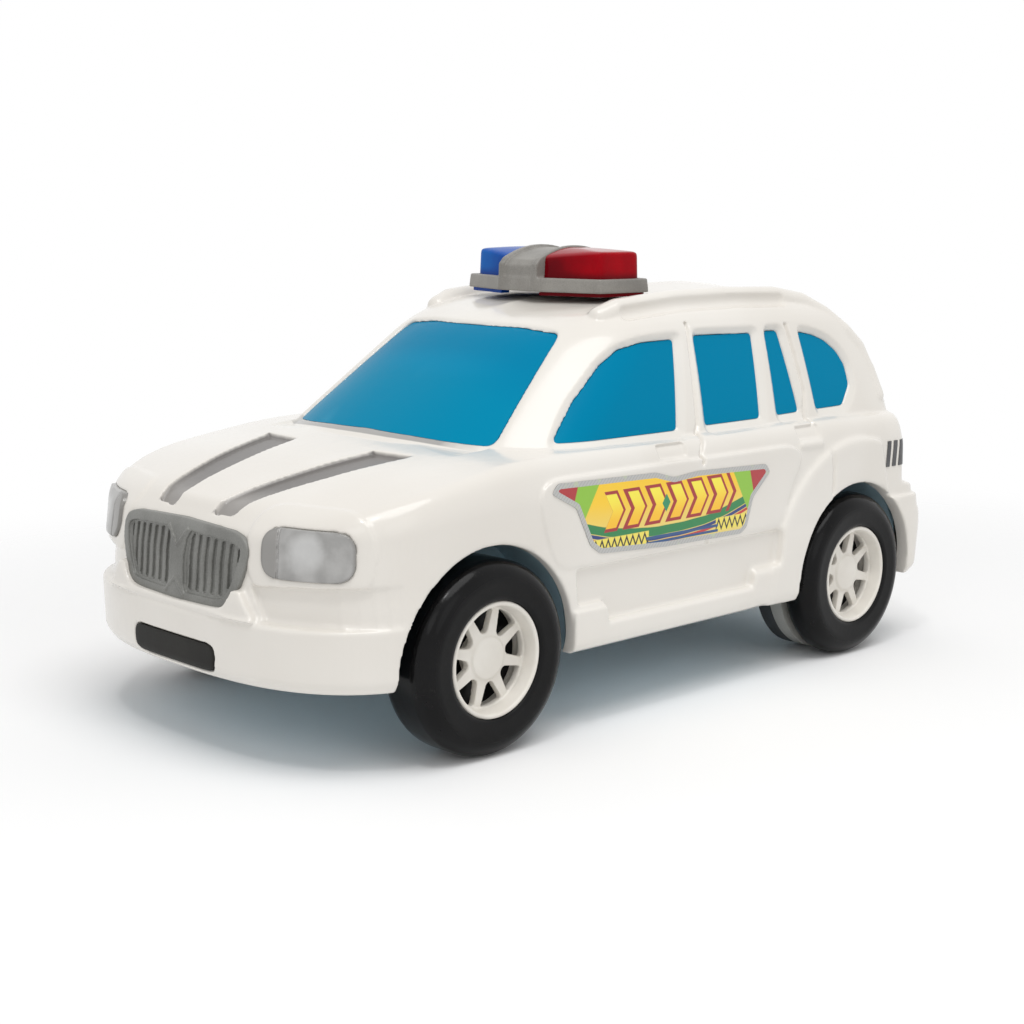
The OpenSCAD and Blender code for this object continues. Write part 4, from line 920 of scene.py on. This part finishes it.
def window_bars(grow):
    """bars with the outlines of the side windows, the screen and the tailgate window"""
    sides = []
    for window in (FRONT_WINDOW, MIDDLE_WINDOW, STRIP_WINDOW, QUARTER_WINDOW):
        shape = rounded(grown(side_shape(window), grow * MM), (1.2 + max(grow, 0)) * MM)
        sides.append(along_y(shape, HALF / 2, HALF * 1.4))
    screen = rounded(grown(end_shape(SCREEN), grow * 0.6 * MM), (2 + grow) * MM)
    gate = rounded(grown(end_shape(GATE), grow * MM), (3 + grow) * MM)
    return [joined_sides(*sides), solid(along_x(screen, ROOF_RIDGE[0] * LENGTH, 0.2)),
            solid(along_x(gate, -0.2, -0.3 * LENGTH))]


def window_cuts():
    """steps of the recesses that slope in to the glass, which the softening blends"""
    tools = []
    for grow, depth in SLOPE:
        for bar, share in zip(window_bars(grow), SLOPE_SHARES):
            tools.append(cut(bar, cabin(depth * share * MM, 2 * MM)))
    return tools


def pocket(tool, depth):
    """tool that goes only so deep below the lower body"""
    return cut(tool, body(depth, 5 * MM))


def arch(x):
    """bar with the outline of a wheel arch, open downwards"""
    arc = [Vector((x + ARCH_RADIUS * math.cos(a), AXLE_Z + ARCH_RADIUS * math.sin(a)))
           for a in (math.pi * n / 60 for n in range(61))]
    foot = [Vector((x - ARCH_RADIUS, -0.01)), Vector((x + ARCH_RADIUS, -0.01))]
    return along_y(arc + foot, HALF * 0.66, HALF * 1.3)


def soft_band(value, middle, width):
    """1 in the middle of a band, falling to 0 at its edges"""
    t = abs(value - middle) / width
    return max(0.0, 1 - t * t)


def haunch_zone(co):
    """how much the haunch's edge is smoothed at a point of the shell"""
    if abs(co.y) < HAUNCH_INSIDE:
        return 0
    r = math.hypot(co.x - REAR_X, co.z - AXLE_Z)
    behind = HAUNCH_END[0].x - co.x + (co.z - HAUNCH_END[0].y) * HAUNCH_LEAN
    if co.z > 0.046 and behind > -HAUNCH_EDGE and r < 0.051:
        return soft_band(behind, 0, HAUNCH_EDGE)
    return soft_band(r, 0.0425, 0.0085)


def raised_forms(rail):
    """the cabin and all that stands proud of the lower body"""
    haunch = joined_sides(rod(REAR_X, AXLE_Z, HALF / 2, HALF * 1.1, 46.5 * MM, 41.0 * MM))
    haunch = common(body(-1.6 * MM), haunch)
    behind = HAUNCH_END + [Vector((-0.14, HAUNCH_END[1].y)), Vector((-0.14, HAUNCH_END[0].y))]
    cut(haunch, joined_sides(side_bar(behind)))
    tail = box((-0.2, -0.1, 0), (-0.45 * LENGTH, 0.1, LEVELS[4][0] * HEIGHT))
    bumper = common(body(-1.26 * MM), solid(tail))
    doors = joined_sides(along_y(rounded(side_shape(DOOR), 5 * MM), DOOR_FACE - 2.5 * MM, DOOR_FACE))
    rails = joined_sides(tube(rail, 3.3 * MM))
    brows = common(body(-0.45 * MM), joined_sides(lamp_bar(4.6 * MM)))
    chin = common(body(-2.4 * MM), solid(along_x(end_shape(CHIN), 0.08, LENGTH / 2 - 0.05 * MM)))
    sill = common(body(-1.1 * MM), joined_sides(side_bar(side_shape(SILL))))
    ledges = [side_bar(pill(x, z - 0.027, 11 * MM, 1.8 * MM, 0.8 * MM)) for x, z in HANDLES]
    ledges = common(body(-0.8 * MM), joined_sides(*ledges))
    return [cabin(), haunch, bumper, doors, rails, brows, chin, sill, ledges]


def sunk_forms(rail):
    """what is cut into the shell: windows, arches, seats of the nose's pieces, pockets and seams"""
    arches = joined_sides(arch(FRONT_X), arch(REAR_X))
    cheek = [Vector((y * HALF, z * HEIGHT)) for y, z in CHEEK]
    cheeks = [pocket(joined_sides(along_x(cheek, x * MM, 0.2)), depth * MM) for x, depth in CHEEK_STEPS]
    seams = [side_bar(ribbon(side_shape(line), SEAM_WIDTH)) for line in SEAMS]
    seams = cut(joined_sides(*seams), body(SEAM_SINK, 5 * MM), cabin(SEAM_SINK, 2 * MM))
    haunch_seam = joined_sides(side_bar(ribbon(side_shape(HAUNCH_SEAM), SEAM_WIDTH)))
    cut(haunch_seam, body(-0.5 * MM, 5 * MM))
    under_rails = joined_sides(tube([p + Vector((0, 4.9 * MM, -0.1 * MM)) for p in rail[1:5]], 2.6 * MM))
    lamps = pocket(joined_sides(lamp_bar(0)), 1.1 * MM)
    grille_seat = pocket(nose_bar(GRILLE, -0.2 * MM, 2 * MM), 1.3 * MM)
    intake_seat = pocket(nose_bar(INTAKE, 0.1 * MM, 2 * MM), 1.4 * MM)
    boards = pocket(joined_sides(side_bar(rounded(side_shape(BOARD), 1.2 * MM))), 1.7 * MM)
    flash = rounded([(a * LENGTH, b * HALF) for a, b in FLASH], 1.6 * MM)
    flashes = joined_sides(prism([Vector((p.x, p.y, 0)) for p in flash], (0, 0, 0.078)))
    flashes = pocket(flashes, 1.2 * MM)
    pulls = [along_y(pill(x, z, 11.5 * MM, 3.8 * MM, 1 * MM), HALF * 0.8, HALF * 1.3) for x, z in HANDLES]
    pulls = pocket(joined_sides(*pulls), 0.8 * MM)
    return [*window_cuts(), arches, lamps, grille_seat, intake_seat, boards, flashes, pulls, *cheeks, seams,
            haunch_seam, under_rails]


def make_shell():
    rail = [Vector((x * LENGTH, y * HALF, z * HEIGHT)) for x, y, z in RAIL]
    shell = merged(body(), *raised_forms(rail))
    cut(shell, *sunk_forms(rail))
    softened(shell, 0.4 * MM, 11, 180000, [(haunch_zone, 44)])
    cut(shell, body(2.6 * MM, 6 * MM), cabin(2.8 * MM, 3 * MM))
    return finished(shell, "shell", shell_white, "car", "white_shell", "body_shell")


def make_liner():
    """window moulding: a skin under the roof with panes that fill the shell's openings"""
    panes = [common(bar, cabin(depth * MM)) for bar, depth in zip(window_bars(-0.05), (1.5, 0.85, 1.5))]
    liner = cut(merged(cabin(2.95 * MM), *panes), cabin(4.4 * MM, 2 * MM))
    finished(liner, "windows", window_blue, "car", "blue_window", "window_liner")


# nose trim

def on_nose(bar, proud, depth):
    """plate that follows the nose, standing proud and sunk by a depth"""
    return cut(common(bar, body(-proud)), body(depth, 6 * MM))


def make_grille():
    plate = on_nose(nose_bar(GRILLE, 0.4 * MM, 2 * MM), 1.0 * MM, 1.2 * MM)
    hollow = cut(nose_bar(GRILLE, -2.1 * MM, 1.5 * MM), body(-0.1 * MM))
    high, low = GRILLE[0][1] * HEIGHT, GRILLE[-1][1] * HEIGHT
    waist = [(0.5, high), (6.5, high), (3.4, high - 4.5 * MM), (2.8, (high + low) / 2), (3.2, low + 4 * MM),
             (5.5, low), (0.5, low)]
    post = [Vector((y * MM, z)) for y, z in waist]
    post += [Vector((-p.x, p.y)) for p in reversed(post)]
    cut(hollow, solid(along_x(post, 0, 0.3)))
    bars = []
    for i in range(7):
        y = (4.4 + 3.05 * i) * MM
        bars.append(box((0, y, 0), (0.3, y + 1.5 * MM, 0.2)))
    gaps = cut(common(joined_sides(*bars), nose_bar(GRILLE, -2.8 * MM, 1.5 * MM)), body(0.9 * MM))
    cut(gaps, solid(along_x(grown(post, 0.6 * MM), 0, 0.3)))
    cut(plate, hollow, gaps)
    ridges = []
    for tip, edge in ((high - 6.4 * MM, high - 1.8 * MM), (low + 5.4 * MM, low + 1.6 * MM)):
        line = [Vector((-4.2 * MM, edge)), Vector((0, tip)), Vector((4.2 * MM, edge))]
        ridges.append(common(solid(along_x(ribbon(line, 0.8 * MM), 0.1, 0.2)), body(-1.45 * MM)))
    merged(plate, *[cut(ridge, body(0.2 * MM, 6 * MM)) for ridge in ridges])
    softened(plate, 0.22 * MM, 3, 60000)
    finished(plate, "grille_plate", grille_grey, "car", "grey_trim", "grille")


def make_intake():
    plate = on_nose(nose_bar(INTAKE, -0.1 * MM, 2 * MM), 0.0, 1.3 * MM)
    softened(plate, 0.3 * MM, 3, 16000)
    finished(plate, "intake_plate", intake_black, "car", "black_trim", "lower_intake")


def make_lamps():
    """two lenses, each with an upright groove near its inner end"""
    for side, name in SIDES:
        lens = on_nose(solid(lamp_bar(0.15 * MM)), 1.1 * MM, 1.0 * MM)
        at = LAMP_CENTRE - LAMP_ACROSS * 7.4 * MM - LAMP_AHEAD * LAMP_BACK
        w, h = 0.3 * MM, 0.01
        groove = [at + LAMP_ACROSS * a + Vector((0, 0, b)) for a, b in ((-w, -h), (w, -h), (w, h), (-w, h))]
        cut(lens, cut(solid(prism(groove, LAMP_AHEAD * LAMP_REACH)), body(-0.6 * MM)))
        if side < 0:
            bm = bmesh.new()
            bm.from_mesh(lens.data)
            mirrored(bm).to_mesh(lens.data)
            bm.free()
        softened(lens, 0.25 * MM, 4, 24000)
        finished(lens, "headlamp_" + name, lamp_silver, "car", "lamp_silver", "headlight_" + name)


# light bar

def bar_ring(inset, z, reach):
    """the bar's rounded outline seen from above, moved inwards, at a height"""
    depth, end, half = BAR_DEPTH - inset, BAR_END - inset / 2, BAR_HALF - inset * 0.6
    plan = [(depth, -STRAP_HALF), (depth, STRAP_HALF), (end, half), (-end, half), (-depth, STRAP_HALF),
            (-depth, -STRAP_HALF), (-end, -half), (end, -half)]
    flat = rounded([(BAR_X + a, b) for a, b in plan], reach, 6)
    return [Vector((p.x, p.y, z)) for p in flat]


def bar_block(*rows, reach=1 * MM):
    """closed block through the bar's outlines, each given by its inset and height"""
    return solid(closed(drawn([bar_ring(inset, z, reach) for inset, z in rows])))


def crown(foot, top, bend=CROWN):
    """an arched top from one foot over to the other"""
    steps = [foot * (1 - n / 7) for n in range(15)]
    return [Vector((a, top - bend * a * a)) for a in steps]


def strap_side(inset):
    """the strap seen from the side: steep feet and an arched top"""
    foot = BAR_DEPTH - inset
    bend = BAR_TOP - inset - CROWN * foot * foot - 0.8 * MM
    half = [Vector((foot, BAR_Z)), Vector((foot - 0.3 * MM, bend))]
    flat = half + crown(foot - 1.9 * MM, BAR_TOP - inset) + [Vector((-p.x, p.y)) for p in reversed(half)]
    return [p + Vector((BAR_X, 0)) for p in flat]


def make_bar():
    """rim with an opening for each lens, and a strap with a raised band at each edge"""
    base = bar_block((0, BAR_Z), (0.1 * MM, BAR_Z + 0.8 * MM), (0.6 * MM, BAR_Z + RIM_HEIGHT))
    well = bar_block((3.3 * MM, BAR_Z - 2 * MM), (3.3 * MM, BAR_TOP))
    cut(base, cut(well, solid(box((-0.1, -STRAP_HALF, 0), (0.1, STRAP_HALF, 0.2)))))
    middle = solid(along_y(strap_side(0.8 * MM), -6.5 * MM, 6.5 * MM))
    bands = joined_sides(along_y(strap_side(0.0), 5.6 * MM, STRAP_HALF))
    merged(base, middle, bands)
    softened(base, 0.3 * MM, 4, 60000)
    finished(base, "bar_frame", bar_grey, "car", "grey_trim", "light_bar_frame")


def lens_form(inset, foot, top):
    """the lenses as one body, its top arched like the strap"""
    form = bar_block((inset, foot), (inset + 0.7 * MM, BAR_TOP), reach=2 * MM)
    reach, wide = 18 * MM, 30 * MM
    side = [Vector((reach, foot - MM))] + crown(reach, top) + [Vector((-reach, foot - MM))]
    side = [p + Vector((BAR_X, 0)) for p in side]
    front = [Vector((wide, foot - MM))] + crown(wide, top, CROWN_ACROSS) + [Vector((-wide, foot - MM))]
    common(form, solid(along_y(side, -0.04, 0.04)))
    return common(form, solid(along_x(front, -0.1, 0.1)))


def make_lenses():
    """hollow lenses, each held by a flange under the rim"""
    for side, name, material in ((1, "red_lens", lens_red), (-1, "blue_lens", lens_blue)):
        form = lens_form(3.4 * MM, BAR_Z - 1.0 * MM, BAR_TOP - 0.4 * MM)
        softened(form, 0.4 * MM, 36, 24000)
        merged(form, bar_block((1.7 * MM, BAR_Z - 1.0 * MM), (1.7 * MM, BAR_Z - 0.06 * MM)))
        cut(form, lens_form(4.7 * MM, BAR_Z - 3 * MM, BAR_TOP - 1.7 * MM))
        span = (7.76 * MM, 0.1) if side > 0 else (-0.1, -7.76 * MM)
        common(form, solid(box((-0.1, span[0], 0), (0.1, span[1], 0.2))))
        finished(form, name + "_cover", material, "car", name, name, angle=28)


# wheels: radius and width points in mm, the rim's outer edge at no width

SPOKES, SPOKE_TURN = 8, 0.14
HUB_PLATE = [
    (0, -6.0), (13.6, -6.0), (13.6, -4.3), (12.0, -4.0), (6.0, -3.8), (5.6, -3.75), (5.4, -3.3),
    (4.9, -3.15), (0, -3.1),
]
# dark disc behind the spokes in radius and width points: painted shade for the wheel's hollow between the
# spokes
SHADE_WEB = [(5.5, -9.0), (13.1, -9.0), (13.1, -8.2), (5.5, -8.2)]
# middle radius of the tyre's round shoulders, their own radius, and how far the tyre stands out of the rim
SHOULDER_AT, SHOULDER_ROUND, TYRE_PROUD = 20, 5, 0.5


def in_mm(points):
    return [(a * MM, b * MM) for a, b in points]


def hub_form(width):
    """spoked wheel on the origin, looking along +Y"""
    lip = [(14.9, -width), (14.9, -0.5), (14.6, -0.1), (14.2, 0.0), (13.9, -0.1), (13.6, -0.5), (12.9, -3.4),
           (12.9, -6.0), (13.2, -7.0), (13.2, -width)]
    wheel = solid(turned(in_mm(lip)))
    plate = solid(turned(in_mm(HUB_PLATE)))
    reach = math.tan(math.pi / SPOKES)
    inner, outer = 6.4, 12.4
    flat = rounded([(inner, -0.95), (outer - 0.35, 1.35 - outer * reach), (outer + 0.35, 0),
                    (outer - 0.35, outer * reach - 1.35), (inner, 0.95)], 1.0)
    holes = []
    for n in range(SPOKES):
        turn = Matrix.Rotation(2 * math.pi * n / SPOKES + SPOKE_TURN, 4, "Y")
        bm = prism([Vector((p.x * MM, -9 * MM, p.y * MM)) for p in flat], (0, 9 * MM, 0))
        bmesh.ops.transform(bm, matrix=turn, verts=bm.verts)
        holes.append(solid(bm))
    cut(plate, *holes)
    boss = solid(rod(0, 0, -13 * MM, -5 * MM, 5.4 * MM, segments=48))
    merged(wheel, plate, boss)
    return softened(wheel, 0.25 * MM, 3, 60000)


def tyre_form(width):
    """tyre with round shoulders, and a dark disc behind the spokes that puts painted shade into the wheel's
    hollow
    """
    at, r = SHOULDER_AT, SHOULDER_ROUND
    points = [(14.95, -width), (at, -width)]
    points += [(at + r * math.cos(a), r - width + r * math.sin(a))
               for a in (-math.pi / 2 + math.pi / 2 * n / 14 for n in range(1, 15))]
    points += [(at + r * math.cos(a), TYRE_PROUD - r + r * math.sin(a))
               for a in (math.pi / 2 * n / 14 for n in range(15))]
    points += [(19.3, 0.48), (18.6, 0.36), (16.4, 0.34), (15.6, 0.22), (15.15, -0.1), (14.95, -0.5)]
    return added(turned(in_mm(points), 128), turned(in_mm(SHADE_WEB), 64))


def placed(bm, x, side):
    """wheel shape moved to its axle end"""
    bmesh.ops.translate(bm, vec=(x, RIM_Y, AXLE_Z), verts=bm.verts)
    return mirrored(bm) if side < 0 else bm


def make_wheels():
    for axle, x, width in (("front", FRONT_X, 16.8), ("rear", REAR_X, 10.8)):
        pattern = hub_form(width)
        for side, name in SIDES:
            bm = bmesh.new()
            bm.from_mesh(pattern.data)
            hub = solid(placed(bm, x, side))
            finished(hub, f"{axle}_wheel_{name}", wheel_white, axle + "_wheels", "wheel_white",
                     f"{axle}_hub_{name}")
            tyre = solid(placed(tyre_form(width), x, side))
            finished(tyre, f"{axle}_tread_{name}", tyre_black, axle + "_wheels", "tyre_black",
                     f"{axle}_tyre_{name}")
        bpy.data.meshes.remove(pattern.data)


# stickers

STICKER_THICK, STICKER_BORDER = 0.2 * MM, 1.4 * MM
# start of each corner bar as a share of the length, and its width in mm; their foot, height and lean
BADGE_BARS = ((-0.387, 1.9), (-0.4005, 1.9), (-0.414, 3.6))
BADGE_FOOT, BADGE_HEIGHT, BADGE_LEAN = 0.455 * HEIGHT, 8.0, 0.9


def make_stickers():
    """door stickers: a printed field within a border of foil"""
    for side, name in SIDES:
        flat = rounded(side_shape(STICKER), 1.0 * MM, 4)
        inner = rounded(grown(side_shape(STICKER), -STICKER_BORDER), 0.7 * MM, 4)
        rows = ((inner, 0), (flat, 0), (flat, STICKER_THICK), (inner, STICKER_THICK))
        bm = closed(drawn([[Vector((p.x, y, p.y)) for p in line] for line, y in rows]))
        for f in bm.faces:
            f.material_index = 0 if len(f.verts) > 4 else 1
        bmesh.ops.triangulate(bm, faces=[f for f in bm.faces if len(f.verts) > 4])
        bmesh.ops.translate(bm, vec=(0, DOOR_FACE + 0.05 * MM, 0), verts=bm.verts)
        if side < 0:
            bmesh.ops.scale(bm, vec=(1, -1, 1), verts=bm.verts)
        bmesh.ops.recalc_face_normals(bm, faces=bm.faces)
        finished(solid(bm), "door_sticker_" + name, [sticker_art, sticker_foil], "car", "sticker",
                 "door_decal_" + name)


def make_badges(shell):
    """three leaning bars printed on each rear corner, laid on the shell's skin"""
    skin = BVHTree.FromObject(shell, bpy.context.evaluated_depsgraph_get())
    for side, name in SIDES:
        bm = bmesh.new()
        for start, wide in BADGE_BARS:
            sheet = bmesh.ops.create_grid(bm, x_segments=8, y_segments=20, size=0.5)["verts"]
            for v in sheet:
                x = start * LENGTH - (v.co.x + 0.5) * wide * MM - (v.co.y + 0.5) * BADGE_LEAN * MM
                z = BADGE_FOOT + (v.co.y + 0.5) * BADGE_HEIGHT * MM
                hit = skin.ray_cast(Vector((x, side * 0.1, z)), Vector((0, -side, 0)))
                v.co = hit[0] + Vector((0, side * 0.22 * MM, 0))
        bmesh.ops.recalc_face_normals(bm, faces=bm.faces)
        for f in bm.faces:
            if f.normal.y * side < 0:
                f.normal_flip()
        bmesh.ops.solidify(bm, geom=bm.faces[:], thickness=0.2 * MM)
        bmesh.ops.recalc_face_normals(bm, faces=bm.faces)
        finished(solid(bm), "corner_bars_" + name, badge_grey, "car", "badge", "rear_badge_" + name)


car_shell = make_shell()
make_liner()
make_grille()
make_intake()
make_lamps()
make_bar()
make_lenses()
make_wheels()
make_stickers()
make_badges(car_shell)

# finishes of the nodes that stay as the frame gives them
KEPT = {
    "chassis": floor_slate, "chassis_screws": steel, "motor_screws": steel, "front_axle": steel,
    "rear_axle": steel, "idler_pin": steel, "flywheel": steel, "flywheel_pinion": brass,
    "axle_gear": gear_nylon, "idler_gear": gear_nylon, "motor_case_left": case_black,
    "motor_case_right": case_black, "drive_wheel_left": drive_grey, "drive_wheel_right": drive_grey,
    "grip_ring_left": grip_rubber, "grip_ring_right": grip_rubber,
}
for node, material in KEPT.items():
    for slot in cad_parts[node].material_slots:
        slot.material = material


# studio

# camera: turn, lift and roll in degrees, then distance, shift and height in units of the photo's measuring
CAMERA_ANGLES = (135.454, 10.016, 0.623)
CAMERA_UNIT = 1.11111 * MM
CAMERA_PLACE = (476.631, 7.100, 40.034)
CAMERA_ORIGIN = Vector((-0.005, 0, 0))
FOCUS_PIXELS, PICTURE_PIXELS, SENSOR = 1737.942, 1024, 36

# lamps: place, point they look at, width and power
LAMPS = {
    "key": ((0.10, 0.36, 1.08), (0, 0, 0.04), 0.8, 4.7),
    "fill": ((0.9, 0.5, 0.75), (0, 0, 0.05), 0.5, 0.6),
    "spark": ((0.45, 0.27, 1.05), (0, 0, 0.05), 0.10, 1.0),
    "side": ((0.2, 1.0, 0.5), (0, 0, 0.05), 0.6, 0.4),
}


def make_camera():
    turn, lift, roll = (math.radians(a) for a in CAMERA_ANGLES)
    back = Vector((math.sin(turn) * math.cos(lift), -math.cos(turn) * math.cos(lift), math.sin(lift)))
    right = Vector((0, 0, 1)).cross(back).normalized()
    up = back.cross(right)
    across = right * math.cos(roll) + up * math.sin(roll)
    above = up * math.cos(roll) - right * math.sin(roll)
    far, shift, height = CAMERA_PLACE
    place = back * far * CAMERA_UNIT - across * shift * CAMERA_UNIT + above * height * CAMERA_UNIT
    lens = bpy.data.cameras.new("camera")
    lens.sensor_width, lens.lens = SENSOR, FOCUS_PIXELS / PICTURE_PIXELS * SENSOR
    lens.clip_start, lens.clip_end = 0.01, 50
    camera = bpy.data.objects.new("camera", lens)
    camera.matrix_world = Matrix((across, above, back)).transposed().to_4x4()
    camera.location = place + CAMERA_ORIGIN
    scene.collection.objects.link(camera)
    scene.camera = camera


def make_lamp(name, place, aim, size, power):
    light = bpy.data.lights.new(name, "AREA")
    light.shape, light.size, light.energy = "DISK", size, power
    lamp = bpy.data.objects.new(name, light)
    lamp.location = place
    lamp.rotation_euler = (Vector(aim) - Vector(place)).to_track_quat("-Z", "Y").to_euler()
    scene.collection.objects.link(lamp)


def make_floor():
    """pale floor that fades into the background all round the car"""
    bm = bmesh.new()
    bmesh.ops.create_circle(bm, cap_ends=True, segments=96, radius=3.0)
    floor = solid(bm, "studio_floor")
    material = bpy.data.materials.new("studio_floor")
    material.use_nodes = True
    tree = material.node_tree
    tree.nodes.clear()
    place = Wire(tree, tree.nodes.new("ShaderNodeTexCoord").outputs["Object"])
    x, y, _ = place.parts()
    far = (((x / 1.35) ** 2 + (y / 1.05) ** 2) ** 0.5).over(0.14, 0.32)
    matte = place.add("ShaderNodeBsdfDiffuse", {}, {"Color": (0.97, 0.97, 0.97, 1)})
    clear = place.add("ShaderNodeBsdfTransparent")
    both = place.add("ShaderNodeMixShader", {}, {0: far, 1: matte, 2: clear})
    end = tree.nodes.new("ShaderNodeOutputMaterial")
    tree.links.new(both.socket, end.inputs[0])
    floor.data.materials.append(material)


def make_world():
    """white background for the camera and for reflections, with softer light on the car"""
    world = bpy.data.worlds.new("studio")
    scene.world = world
    world.use_nodes = True
    tree = world.node_tree
    tree.nodes.clear()
    ray = tree.nodes.new("ShaderNodeLightPath")
    seen = [Wire(tree, ray.outputs[n]) for n in ("Is Camera Ray", "Is Glossy Ray", "Is Transmission Ray")]
    shown = seen[0].math("MAXIMUM", seen[0], seen[1].math("MAXIMUM", seen[1], seen[2]))
    light = shown.add("ShaderNodeBackground", {}, {"Color": (1, 1, 1, 1), "Strength": shown * 0.38 + 0.62})
    end = tree.nodes.new("ShaderNodeOutputWorld")
    tree.links.new(light.socket, end.inputs[0])


make_camera()
make_floor()
make_world()
for name, settings in LAMPS.items():
    make_lamp(name, *settings)
scene.view_settings.view_transform = "Standard"
